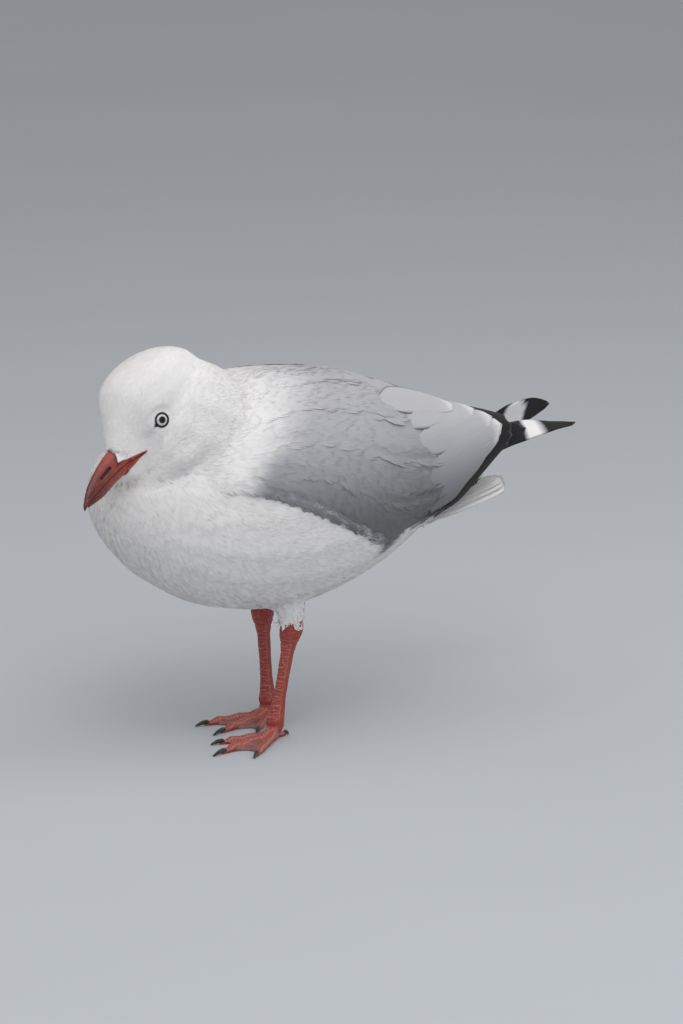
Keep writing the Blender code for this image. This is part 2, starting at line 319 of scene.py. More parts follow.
def alone(item: Object) -> None:
    """Make an object the only one selected and active, in object mode.

    Args:
        item: The object.
    """
    if bpy.context.object and bpy.context.object.mode != "OBJECT":
        bpy.ops.object.mode_set(mode="OBJECT")
    bpy.ops.object.select_all(action="DESELECT")
    item.select_set(True)
    bpy.context.view_layer.objects.active = item


def apply_modifier(item: Object, kind: str, **settings) -> None:
    """Add a modifier with settings and apply it.

    Args:
        item: Object to change.
        kind: Modifier type.
        settings: Properties of the modifier.
    """
    alone(item)
    modifier = item.modifiers.new(kind.lower(), kind)
    for key, value in settings.items():
        setattr(modifier, key, value)
    bpy.ops.object.modifier_apply(modifier=modifier.name)


def copy_nodes(name: str, nodes: list[str], swell: float = 0.0) -> Object:
    """Join copies of CAD nodes into one new object.

    Args:
        name: Name of the new object.
        nodes: CAD nodes to copy.
        swell: How far each copy grows, to close the gaps between them.

    Returns:
        The joined object, merged and shaded smooth.
    """
    copies = []
    for node in nodes:
        item = new_object(name, frame["nodes"][node].data.copy())
        item.data.materials.clear()
        mesh = bmesh.new()
        mesh.from_mesh(item.data)
        bmesh.ops.remove_doubles(mesh, verts=mesh.verts, dist=0.01 * MM)
        mesh.normal_update()
        moves = [v.normal * swell for v in mesh.verts]
        for vert, move in zip(mesh.verts, moves):
            vert.co += move
        mesh.to_mesh(item.data)
        mesh.free()
        if "custom_normal" in item.data.attributes:
            item.data.attributes.remove(item.data.attributes["custom_normal"])
        copies.append(item)
    alone(copies[0])
    for item in copies:
        item.select_set(True)
    if len(copies) > 1:
        bpy.ops.object.join()
    copies[0].name = name
    return copies[0]


def keep_largest(item: Object) -> None:
    """Delete every loose part of a mesh but the one with the most vertices.

    Args:
        item: Object to change.
    """
    mesh = bmesh.new()
    mesh.from_mesh(item.data)
    left, kept = set(mesh.verts), set()
    while left:
        island, fresh = set(), {left.pop()}
        while fresh:
            island |= fresh
            fresh = {edge.other_vert(vert) for vert in fresh for edge in vert.link_edges} & left
            left -= fresh
        kept = max(kept, island, key=len)
    bmesh.ops.delete(mesh, geom=[vert for vert in mesh.verts if vert not in kept], context="VERTS")
    mesh.to_mesh(item.data)
    mesh.free()


def remesh(item: Object, voxel: float, rounds: int) -> None:
    """Make one smooth closed shell of a piece.

    Args:
        item: Object to change.
        voxel: Grain of the new mesh.
        rounds: How many times it is smoothed.
    """
    apply_modifier(item, "REMESH", mode="VOXEL", voxel_size=voxel)
    keep_largest(item)
    apply_modifier(item, "SMOOTH", factor=0.5, iterations=rounds)


def vertex_arrays(mesh: Mesh) -> tuple[Array, Array]:
    """Places and normals of a mesh's vertices, as arrays of three columns.

    Args:
        mesh: The mesh.

    Returns:
        The places and the normals.
    """
    places = np.zeros(len(mesh.vertices) * 3, np.float32)
    normals = np.zeros(len(mesh.vertices) * 3, np.float32)
    mesh.vertices.foreach_get("co", places)
    mesh.vertices.foreach_get("normal", normals)
    return places.reshape(-1, 3).astype(float), normals.reshape(-1, 3).astype(float)


def corner_rows(parts: bpy.types.bpy_prop_collection, corners: int) -> Array:
    """Vertex indices of a mesh's edges or triangles.

    Args:
        parts: The edges or triangles.
        corners: How many vertices each has.

    Returns:
        One row for each.
    """
    found = np.zeros(len(parts) * corners, np.int32)
    parts.foreach_get("vertices", found)
    return found.reshape(-1, corners)


def mesh_edges(mesh: Mesh) -> Array:
    """Vertex pairs of a mesh's edges."""
    return corner_rows(mesh.edges, 2)


def set_places(mesh: Mesh, places: Array) -> None:
    """Give a mesh's vertices new places."""
    mesh.vertices.foreach_set("co", places.astype(np.float32).ravel())
    mesh.update()


def set_marks(mesh: Mesh, marks: Array) -> None:
    """Store the three marks that a finish reads at each vertex, as the attribute "mark".

    Args:
        mesh: Mesh to mark.
        marks: Array of three columns.
    """
    layer = mesh.color_attributes.new("mark", "FLOAT_COLOR", "POINT")
    values = np.ones((len(marks), 4), np.float32)
    values[:, :3] = marks
    layer.data.foreach_set("color", values.ravel())


def dress(item: Object, material: Material, marks: Array, fine_mm: Array) -> None:
    """Give a smooth piece its marks, the places of its fine pattern and its finish.

    Args:
        item: Object to dress.
        material: Its finish.
        marks: As for set_marks.
        fine_mm: As for set_texture_place.
    """
    set_marks(item.data, marks)
    set_texture_place(item.data, fine_mm)
    item.data.materials.append(material)
    item.data.shade_smooth()


def set_texture_place(mesh: Mesh, places_mm: Array) -> None:
    """Store places that the fine patterns are drawn on, in millimetres, as the attribute "vane"."""
    layer = mesh.attributes.new("vane", "FLOAT_VECTOR", "POINT")
    layer.data.foreach_set("vector", places_mm.astype(np.float32).ravel())


def set_layout(mesh: Mesh, spots: Array, triangles: Array) -> None:
    """Give a mesh of triangles the UV map OFBake, from each vertex's place on the layout."""
    layer = mesh.uv_layers.new(name="OFBake")
    layer.data.foreach_set("uv", spots[triangles.ravel()].astype(np.float32).ravel())


def soften(mesh: Mesh, points: Array, triangles: Array, soft: Array, share: float) -> None:
    """Give thin feathers shading normals near the body's own, as loose barbs scatter light.

    Args:
        mesh: Mesh of triangles.
        points: Its vertices.
        triangles: Its vertex indices, three to a face.
        soft: Wanted normal at each vertex; the far side of a feather takes its opposite.
        share: How far the normals turn towards it, from 0 to 1.
    """
    a, b, c = (points[triangles[:, i]] for i in range(3))
    flat = unit(np.cross(b - a, c - a))
    aim = soft[triangles]
    facing = (aim.mean(1) * flat).sum(1)[:, None, None]
    weight = share * ease(np.abs(facing), 0.05, 0.4)
    corners = unit(aim * np.sign(facing) * weight + flat[:, None] * (1 - weight))
    mesh.shade_smooth()
    layer = mesh.attributes.new("custom_normal", "FLOAT_VECTOR", "CORNER")
    layer.data.foreach_set("vector", corners.astype(np.float32).ravel())
    mesh.update()


def spread(values: Array, edges: Array, rounds: int) -> Array:
    """Even out values over a mesh by averaging each vertex with its neighbours.

    Args:
        values: One row for each vertex.
        edges: Vertex pairs.
        rounds: How many times to average.

    Returns:
        The smoothed rows.
    """
    count = np.bincount(edges.ravel(), minlength=len(values)).astype(float)
    shape = (-1,) + (1,) * (values.ndim - 1)
    for _ in range(rounds):
        total = np.zeros_like(values)
        np.add.at(total, edges[:, 0], values[edges[:, 1]])
        np.add.at(total, edges[:, 1], values[edges[:, 0]])
        values = 0.5 * values + 0.5 * total / np.maximum(count, 1).reshape(shape)
    return values


# ---------------------------------------------------------------- markings and painted shade
EYE_SIDE_MM, EYE_RADIUS_MM = 15.3, 5.0
# Turn of the eye's own axis from the eye line
EYE_AHEAD, EYE_ABOVE = math.radians(20), math.radians(9)
LID_MM = (2.95, 3.8)  # inner and outer radius of the bare black ring round the eye


def eye_axes(side: Side) -> Array:
    """Ahead, out and up of an eye, as rows on the head's axes; out is where it looks.

    Args:
        side: Which eye.

    Returns:
        Three unit rows.
    """
    level = math.cos(EYE_ABOVE)
    aside = side.value * math.cos(EYE_AHEAD) * level
    out = np.array((math.sin(EYE_AHEAD) * level, aside, math.sin(EYE_ABOVE)))
    ahead = unit(np.array((1, 0, 0)) - out * out[0])
    return np.stack([ahead, out, np.cross(ahead, out) * side.value])


def eye_mm(on_head: Array) -> tuple[Array, Array, Array]:
    """Places on the head seen from the nearer eye.

    Args:
        on_head: Millimetres on the head's axes.

    Returns:
        Millimetres ahead, out along the eye's axis, and up, from the eyeball's middle.
    """
    found = np.zeros_like(on_head)
    for side in Side:
        mask = on_head[:, 1] * side.value >= 0
        found[mask] = (on_head[mask] - (0, side.value * EYE_SIDE_MM, 0)) @ eye_axes(side).T
    return found.T


def marking(places: Array, winged: Array) -> Array:
    """Tone of the plumage: silver grey mantle and wings that fade to white at the shoulders, darker low on
    the wing, partly its own darker grey and partly painted shade.

    Args:
        places: Row-frame metres.
        winged: How far each place belongs to the wings or the mantle, 0 to 1.

    Returns:
        Values of the Tone scale.
    """
    _, y, z = stance_mm(places).T
    start = -50 + np.clip(z - 150, 0, 45) * 0.5
    reach = 14 + np.clip(z - 148, 0, 45) * 1.1
    fade = ease(y, start, start + reach)
    # Darker towards the bottom: partly the wing's own darker grey, partly painted shade where the lower wing
    # faces away from the light.
    dusk_and_shade = 0.74 * ease(z, 172, 108)
    folded = ease(y, 96, 99) * ease(z, 117 + 0.69 * (y - 100), 115 + 0.69 * (y - 100))
    grey = fade * (0.94 + dusk_and_shade) * Tone.GREY.value
    return (grey * (1 - folded) + Tone.BLACK.value * folded) * winged + face_marking(places)


def face_marking(places: Array) -> Array:
    """Tone that the face adds: the black eye ring with its notch, a faint dusky smudge in front of the eye,
    and painted shade behind and above it.

    Args:
        places: Row-frame metres.

    Returns:
        Values to add to the tone.
    """
    ahead, out, above = eye_mm(head_mm(places))
    near = (np.abs(out) < 12) & (np.abs(ahead) < 22) & (np.abs(above) < 16)
    away = np.hypot(ahead, above)
    notch = 1.3 * np.exp(-((np.arctan2(above, ahead) + 0.04) ** 2) / 0.05)
    ring = ease(away, LID_MM[1] + 0.35 + notch, LID_MM[1] + notch)
    # front is the face's own faint dusky smudge before the eye; rear is painted shade behind and above the
    # eye, in the hollow there.
    front = np.exp(-(((ahead - 8.5) / 4.2) ** 2) - ((above + 0.6) / 2.4) ** 2)
    rear = np.exp(-(((ahead + 7.5) / 6) ** 2) - ((above - 3.6) / 2.2) ** 2)
    dusk_and_shade = 0.34 * front + 0.15 * rear
    return np.where(near, ring * Tone.BLACK.value + (1 - ring) * dusk_and_shade, 0)


# ---------------------------------------------------------------- finishes
@dataclass(frozen=True)
class PlumageFinish:
    """Contour feathers: matt keratin barbs that scatter light, so no part of them shines."""

    white: str = "#f3f1f0"  # head, breast and belly
    grey: str = "#b2b2b7"  # mantle and wing coverts
    black: str = "#1d1a1b"  # wing tips
    # Depth of the barbs along every vane, which are drawn coarser than real ones to show
    barb_mm: float = 0.05

    def material(self, name: str) -> Material:
        """Build the material, which reads "mark" (tone, chance, share of the length) and "vane".

        Args:
            name: Its name.

        Returns:
            The material.
        """
        material, shader, node = new_material(
            name, Roughness=0.78, Specular_IOR_Level=0.25, Sheen_Weight=0.12
        )
        tone, chance, along = node("SeparateColor", (node("Attribute", attribute_name="mark"),)).outputs[:3]
        place = node("TexCoord").outputs["Object"]
        cloud = node("TexNoise", {"Vector": place, "Scale": 55, "Detail": 3})
        # Darker in random soft patches: the plumage's own mottle.
        dusk_and_shade = node("MapRange", (cloud, 0.35, 0.7, 0.97, 1.0))
        grey = node("MapRange", (tone,))
        black = node("MapRange", (tone, 1.0, 2.0))
        pale = node("Mix", {"Factor": grey, 6: srgb(self.white), 7: srgb(self.grey)}, data_type="RGBA")
        base = node("Mix", {"Factor": black, 6: pale, 7: srgb(self.black)}, data_type="RGBA")
        rim = node("MapRange", (along, 0.8, 1.0, 1.0, 1.1))
        each = node("MapRange", (chance, 0, 1, 0.93, 1.03))
        first = node("Math", (each, dusk_and_shade), operation="MULTIPLY")
        lift = node("Math", (first, rim), operation="MULTIPLY")
        shade = node("VectorMath", {0: base, "Scale": lift}, operation="SCALE")
        vane = node("Attribute", attribute_name="vane").outputs["Vector"]
        streak = node("Mapping", {"Vector": vane, "Scale": (2.2, 0.3, 1)})
        barbs = node("TexNoise", {"Vector": streak, "Scale": 1.0, "Detail": 3})
        relief = node("Bump", {"Height": barbs, "Strength": 0.6, "Distance": self.barb_mm * MM})
        wire(shader, {"Base Color": shade, "Normal": relief})
        return material


@dataclass(frozen=True)
class HornFinish:
    """Bill horn: waxy keratin, half glossy, with fine growth lines that dull its highlights."""

    base: str = "#a2392a"  # colour near the face
    tip: str = "#5c1d18"  # colour at the tip
    dark: str = "#1c0f0d"  # nostril, mouth line and the dark edge at the feathers
    fleck: str = "#d8c4bb"  # dried salt in small flecks
    feathered: str = "#e9e6e4"  # under the small feathers that point onto the bill

    def material(self, name: str) -> Material:
        """Build the material, which reads "mark" (dark, along, feathered) and "vane".

        Args:
            name: Its name.

        Returns:
            The material.
        """
        material, shader, node = new_material(
            name, Specular_IOR_Level=0.5, Coat_Weight=0.25, Coat_Roughness=0.28
        )
        marks = node("SeparateColor", (node("Attribute", attribute_name="mark"),))
        dark, along, feathered = marks.outputs[:3]
        vane = node("Attribute", attribute_name="vane").outputs["Vector"]
        grain = node("Mapping", {"Vector": vane, "Scale": (0.12, 1.6, 1.6)})
        lines = node("TexNoise", {"Vector": grain, "Scale": 1.0, "Detail": 4})
        cloud = node("TexNoise", {"Vector": vane, "Scale": 0.35, "Detail": 2})
        lean = node("Math", (cloud, 0.5, along), operation="MULTIPLY_ADD")
        fade = node("MapRange", (lean, 0.35, 1.0))
        red = node("Mix", {"Factor": fade, 6: srgb(self.base), 7: srgb(self.tip)}, data_type="RGBA")
        tint = node("MapRange", (lines, 0.3, 0.7, 0.78, 1.2))
        lined = node("VectorMath", {0: red, "Scale": tint}, operation="SCALE")
        dots = node("TexVoronoi", {"Vector": vane, "Scale": 0.8, "Randomness": 1.0})
        spot = node("MapRange", (dots, 0.16, 0.05))
        where = node("MapRange", (along, 0.45, 0.75))
        salt = node("Math", (spot, where), operation="MULTIPLY")
        colour = lined
        for share, code in ((salt, self.fleck), (dark, self.dark), (feathered, self.feathered)):
            colour = node("Mix", {"Factor": share, 6: colour, 7: srgb(code)}, data_type="RGBA")
        rough = node("MapRange", (lines, 0, 1, 0.34, 0.56))
        relief = node("Bump", {"Height": lines, "Strength": 0.5, "Distance": 0.12 * MM})
        wire(shader, {"Base Color": colour, "Roughness": rough, "Normal": relief})
        return material


@dataclass(frozen=True)
class ScaleFinish:
    """Bare leg skin: leathery red scutes with dry pale seams, and duller webs."""

    red: str = "#9a2c21"  # the scutes
    seam: str = "#dba597"  # the dry skin between them
    web: str = "#87605a"  # the webs between the toes

    def material(self, name: str) -> Material:
        """Build the material, which reads "mark" (seam, web, chance) and "vane".

        Args:
            name: Its name.

        Returns:
            The material.
        """
        material, shader, node = new_material(name, Specular_IOR_Level=0.42)
        seam, web, _ = node("SeparateColor", (node("Attribute", attribute_name="mark"),)).outputs[:3]
        vane = node("Attribute", attribute_name="vane").outputs["Vector"]
        shape = {"Vector": vane, "Scale": 0.95, "Randomness": 0.8}
        cells = node("TexVoronoi", shape, feature="DISTANCE_TO_EDGE")
        edge = node("MapRange", (cells, 0.09, 0.0))
        mottle = node("TexNoise", {"Vector": vane, "Scale": 0.5, "Detail": 4})
        tint = node("MapRange", (mottle, 0.3, 0.7, 0.72, 1.15))
        skin = node("Mix", {"Factor": web, 6: srgb(self.red), 7: srgb(self.web)}, data_type="RGBA")
        shade = node("VectorMath", {0: skin, "Scale": tint}, operation="SCALE")
        small = node("Math", (edge, 0.38), operation="MULTIPLY")
        dry = node("Math", (seam, small), operation="MAXIMUM")
        seamed = node("Mix", {"Factor": dry, 6: shade, 7: srgb(self.seam)}, data_type="RGBA")
        rough = node("MapRange", (dry, 0, 1, 0.42, 0.7))
        relief = node("Bump", {"Height": cells, "Strength": 0.6, "Distance": 0.25 * MM})
        wire(shader, {"Base Color": seamed, "Roughness": rough, "Normal": relief})
        return material


@dataclass(frozen=True)
class TalonFinish:
    """Claw horn: near black and polished by wear, greyer where it is scuffed."""

    black: str = "#171516"  # the horn
    scuff: str = "#4a4645"  # its worn patches

    def material(self, name: str) -> Material:
        """Build the material.

        Args:
            name: Its name.

        Returns:
            The material.
        """
        material, shader, node = new_material(
            name, Specular_IOR_Level=0.55, Coat_Weight=0.3, Coat_Roughness=0.2
        )
        wear = node("TexNoise", {"Vector": node("TexCoord").outputs["Object"], "Scale": 900, "Detail": 4})
        share = node("MapRange", (wear, 0.5, 0.75))
        horn = node("Mix", {"Factor": share, 6: srgb(self.black), 7: srgb(self.scuff)}, data_type="RGBA")
        rough = node("MapRange", (wear, 0, 1, 0.25, 0.55))
        relief = node("Bump", {"Height": wear, "Strength": 0.4, "Distance": 0.08 * MM})
        wire(shader, {"Base Color": horn, "Roughness": rough, "Normal": relief})
        return material


@dataclass(frozen=True)
class EyeFinish:
    """Eye under its wet cornea: pale fibrous iris, deep black pupil, black beyond."""

    iris: str = "#dcdcd8"  # colour of the iris
    rim: str = "#9b9894"  # its darker fibres
    black: str = "#060607"  # pupil and the eyeball beyond the iris

    def material(self, name: str) -> Material:
        """Build the material, which reads "mark" (black, around, outwards) and "vane".

        Args:
            name: Its name.

        Returns:
            The material.
        """
        material, shader, node = new_material(
            name, Roughness=0.3, Specular_IOR_Level=0.3, Coat_Weight=0.5, Coat_Roughness=0.02, Coat_IOR=1.376
        )
        black, _, outwards = node("SeparateColor", (node("Attribute", attribute_name="mark"),)).outputs[:3]
        vane = node("Attribute", attribute_name="vane").outputs["Vector"]
        spokes = node("Mapping", {"Vector": vane, "Scale": (9, 0.7, 1)})
        fibre = node("TexNoise", {"Vector": spokes, "Scale": 1.0, "Detail": 3})
        dark = node("MapRange", (fibre, 0.4, 0.75, 0, 0.6))
        edge = node("MapRange", (outwards, 0.8, 1.0, 0, 0.7))
        both = node("Math", (dark, edge), operation="MAXIMUM")
        iris = node("Mix", {"Factor": both, 6: srgb(self.iris), 7: srgb(self.rim)}, data_type="RGBA")
        eye = node("Mix", {"Factor": black, 6: iris, 7: srgb(self.black)}, data_type="RGBA")
        wire(shader, {"Base Color": eye})
        return material


@dataclass(frozen=True)
class FloorFinish:
    """Matt studio paper: no gloss, with the faintest mottle."""

    colour: str = "#bdc1c5"  # the paper

    def material(self, name: str) -> Material:
        """Build the paper.

        Args:
            name: Its name.

        Returns:
            The material.
        """
        material, shader, node = new_material(name, Roughness=0.95, Specular_IOR_Level=0.1)
        mottle = node("TexNoise", {"Vector": node("TexCoord").outputs["Object"], "Scale": 3, "Detail": 4})
        value = node("MapRange", (mottle, 0, 1, 0.97, 1.03))
        shade = node("VectorMath", {0: srgb(self.colour)[:3], "Scale": value}, operation="SCALE")
        wire(shader, {"Base Color": shade})
        return material


# ---------------------------------------------------------------- skin
FLESH = ("trunk", "neck", "head", "wing_left", "wing_right", "thigh_left", "thigh_right")


class Part(IntEnum):
    """What a skin vertex belongs to: the place of its solid in FLESH, or a bare leg."""

    TRUNK = 0
    NECK = 1
    HEAD = 2
    WING_LEFT = 3
    WING_RIGHT = 4
    THIGH_LEFT = 5
    THIGH_RIGHT = 6
    LEG = 7


WINGS = (Part.WING_LEFT, Part.WING_RIGHT)
THIGHS = (Part.THIGH_LEFT, Part.THIGH_RIGHT)
# The ball that cheek and chin are part of, on the head's axes: the fold runs round its edge
JOWL_MIDDLE_MM, JOWL_RADIUS_MM = (-8.7, 0, 6.8), 44.3


def mesh_tree(mesh: Mesh) -> BVHTree:
    """Search tree of a mesh's faces."""
    faces = [tuple(p.vertices) for p in mesh.polygons]
    return BVHTree.FromPolygons([v.co.copy() for v in mesh.vertices], faces)


@dataclass
class Skin:
    """The one closed skin under the coat, from the lids to the soles."""

    plumage: Material  # finish of the feathered skin
    scales: Material  # finish of the bare legs
    voxel: float = 1.3 * MM  # grain that the joined solids are remeshed at
    swell: float = 0.35 * MM  # how far the solids grow to close their gaps before that
    # Coat depth over each solid, by which the skin lies inside it
    depth_mm: dict = field(
        default_factory=lambda: {"trunk": 1.7, "neck": 1.3, "head": 1.0, "wing": 1.3, "thigh": 1.2}
    )
    item: Object = None  # the skin itself
    label: Array = None  # value of Part for each vertex
    looks: Array = None  # marks of each vertex: on a leg, seam, web and chance

    def build(self) -> Object:
        """Join, remesh, smooth and shrink the flesh, and grow lids and legs on it.

        Returns:
            The skin object.
        """
        self.item = copy_nodes("skin", list(FLESH), self.swell)
        remesh(self.item, self.voxel, 4)
        self.refine_eyes()
        self.label = self.nearest_node()
        self.shrink()
        self.fold_chin()
        self.raise_lids()
        self.item.data.materials.append(self.plumage)
        self.add_legs()
        self.item.data.shade_smooth()
        return self.item

    def refine_eyes(self) -> None:
        """Cut the skin finer round the eyes, where the lids are."""
        mesh = bmesh.new()
        mesh.from_mesh(self.item.data)
        for reach in (9, 7, 5.4):
            ahead, out, above = eye_mm(head_mm(np.array([v.co for v in mesh.verts])))
            away = np.hypot(ahead, above) + np.maximum(np.abs(out - 3) - 6, 0) * 9
            near = {v for v, d in zip(mesh.verts, away) if d < reach}
            faces = [f for f in mesh.faces if all(v in near for v in f.verts)]
            edges = list({e for f in faces for e in f.edges})
            bmesh.ops.subdivide_edges(mesh, edges=edges, cuts=1, use_grid_fill=True)
        mesh.to_mesh(self.item.data)
        mesh.free()

    def shrink(self) -> None:
        """Draw the skin in by the depth of the coat that covers it."""
        depth = np.array([self.depth_mm[node.split("_")[0]] for node in FLESH])[self.label]
        places, normals = vertex_arrays(self.item.data)
        x, y, z = stance_mm(places).T
        winged = np.isin(self.label, WINGS)
        depth = np.where(winged & (y > 80), np.maximum(0.6, depth - (y - 80) * 0.03), depth)
        face = ease(head_mm(places)[:, 0], 8, 20) * (self.label == Part.HEAD)
        depth = depth * (1 - 0.5 * face)
        back = (self.label == Part.TRUNK) & (z > 160) & (y > -50)
        depth = np.where(back, depth - 2.4 * ease(y, -50, -30), depth)
        edges = mesh_edges(self.item.data)
        depth = spread(depth, edges, 6)
        smooth_normals = unit(spread(normals, edges, 3))
        places = places - smooth_normals * ((depth * MM) + self.swell)[:, None]
        seam = (np.abs(x) < 30) & (z > 150) & (y > -60)
        seam = spread(seam.astype(float), edges, 6)[:, None]
        places = places * (1 - seam) + spread(places, edges, 14) * seam
        set_places(self.item.data, places)
        apply_modifier(self.item, "SMOOTH", factor=0.5, iterations=3)

    def fold_chin(self) -> None:
        """Press in the fold where the feathers of the chin and cheek overhang the breast."""
        places, normals = vertex_arrays(self.item.data)
        on_head = head_mm(places)
        away = np.linalg.norm(on_head - JOWL_MIDDLE_MM, axis=1) - JOWL_RADIUS_MM
        share = ease(on_head[:, 2], -13, -19) * ease(on_head[:, 0], -12, 4) * ~np.isin(self.label, WINGS)
        fold = 1.7 * bell(away, 0.8, 1.9) - 1.5 * bell(away, -4.6, 3.0)
        outward = unit(spread(normals, mesh_edges(self.item.data), 6))
        set_places(self.item.data, places - outward * (fold * share * MM)[:, None])

    def raise_lids(self) -> None:
        """Raise a bead of lid round each eye, and sink the skin behind the eyeball."""
        places, _ = vertex_arrays(self.item.data)
        on_head = head_mm(places)
        ahead, out, above = eye_mm(on_head)
        away = np.hypot(ahead, above)
        rim = math.sqrt(EYE_RADIUS_MM**2 - LID_MM[0] ** 2)
        level = rim + 0.05 - 0.16 * np.maximum(away - LID_MM[1], 0)
        level = level + 0.38 * np.sqrt(np.clip(1 - ((away - 3.4) / 0.55) ** 2, 0, 1))
        level = level - 0.22 * bell(away, 4.35, 0.3)
        inside = ease(away, LID_MM[0] + 0.05, LID_MM[0] - 0.25)
        level = level * (1 - inside) + (rim - 1.2) * inside
        share = ease(away, 8.5, 4.4) * (np.abs(out) < 9) * (self.label == Part.HEAD)
        change = np.zeros_like(on_head)
        for side in Side:
            mask = on_head[:, 1] * side.value > 6
            change[mask] = ((level - out) * share)[mask, None] * eye_axes(side)[1]
        set_places(self.item.data, places + change @ HEAD_AXES.T * MM)

    def add_legs(self) -> None:
        """Unite the bare legs with the feathered skin, then give them their relief."""
        clouds = [vertex_arrays(self.item.data)[0]]
        for side in Side:
            leg = Leg(side).build()
            leg.data.materials.append(self.scales)
            clouds.append(vertex_arrays(leg.data)[0])
            union = {"operation": "UNION", "solver": "MANIFOLD", "material_mode": "TRANSFER"}
            apply_modifier(self.item, "BOOLEAN", object=leg, **union)
            bpy.data.objects.remove(leg)
        tree = kd_tree(np.concatenate(clouds))
        places, normals = vertex_arrays(self.item.data)
        near = np.array([tree.find(p)[1] for p in places.tolist()])
        owner = np.repeat(range(3), [len(cloud) for cloud in clouds])[near]
        label = self.label[np.minimum(near, len(self.label) - 1)]
        self.label = np.where(owner > 0, Part.LEG, label)
        self.looks = np.tile((0.0, 0.5, 0.0), (len(places), 1))
        smooth_normals = unit(spread(normals, mesh_edges(self.item.data), 2))
        for number, side in enumerate(Side, 1):
            mine = owner == number
            relief, seam, web, chance = Leg(side).detail(places[mine])
            places[mine] += smooth_normals[mine] * ((relief - 0.12) * MM)[:, None]
            self.looks[mine] = np.stack([seam, web, chance], -1)
        places[:, 2] = np.maximum(places[:, 2], 0)
        set_places(self.item.data, places)
        set_texture_place(self.item.data, stance_mm(places))

    def thin(self) -> None:
        """Thin the skin where the coat hides it, so that it stays under the limit for one piece."""
        hidden = ~np.isin(self.label, (Part.HEAD, Part.LEG))
        group = self.item.vertex_groups.new(name="hidden")
        group.add(np.flatnonzero(hidden).tolist(), 1.0, "REPLACE")
        apply_modifier(self.item, "DECIMATE", ratio=0.7, vertex_group=group.name)
        self.item.vertex_groups.clear()
        self.item.data.shade_smooth()
        log.info("%s: thinned to %d faces", self.item.name, len(self.item.data.polygons))

    def nearest_node(self) -> Array:
        """Index into FLESH of the solid that each skin vertex lies nearest to.

        Returns:
            One index for each vertex.
        """
        trees = [mesh_tree(frame["nodes"][node].data) for node in FLESH]
        places, _ = vertex_arrays(self.item.data)
        found = np.full(len(places), 0)
        least = np.full(len(places), 1.0)
        reach = 4 * MM
        for index, tree in enumerate(trees):
            for i, place in enumerate(places):
                hit = tree.find_nearest(place, min(least[i], reach))
                if hit[3] is not None and hit[3] < least[i] - 0.02 * MM:
                    least[i] = hit[3]
                    found[i] = index
        return found


# Bare legs as the solids have them: hock and ankle (mm), turn of the foot (degrees)
LEGS = {
    Side.LEFT: {"hock": (22, 1), "ankle": (20, -8), "turn": 16},
    Side.RIGHT: {"hock": (-20, 12), "ankle": (-18, 14), "turn": 20},
}
ANKLE_MM, HOCK_MM = 5, 55
SCUTE_MM = 1.75  # length of one scute
TOES = {"outer": (26, 38, 2.3), "middle": (0, 42, 2.4), "inner": (-26, 31, 2.1), "hind": (172, 8, 1.5)}


def scutes(step: Array, groove: float) -> tuple[Array, Array]:
    """Arch of each scute in a row of them, and the grooves between, both 0 to 1.

    Args:
        step: Places along the row, one scute for each whole number.
        groove: Half width of a groove, as a share of a scute.

    Returns:
        The arch and the groove at each place.
    """
    part = step - np.floor(step)
    grooves = np.clip(bell(part, 0, groove) + bell(part, 1, groove), 0, 1)
    return np.sqrt(np.clip(4 * part * (1 - part), 0, 1)), grooves


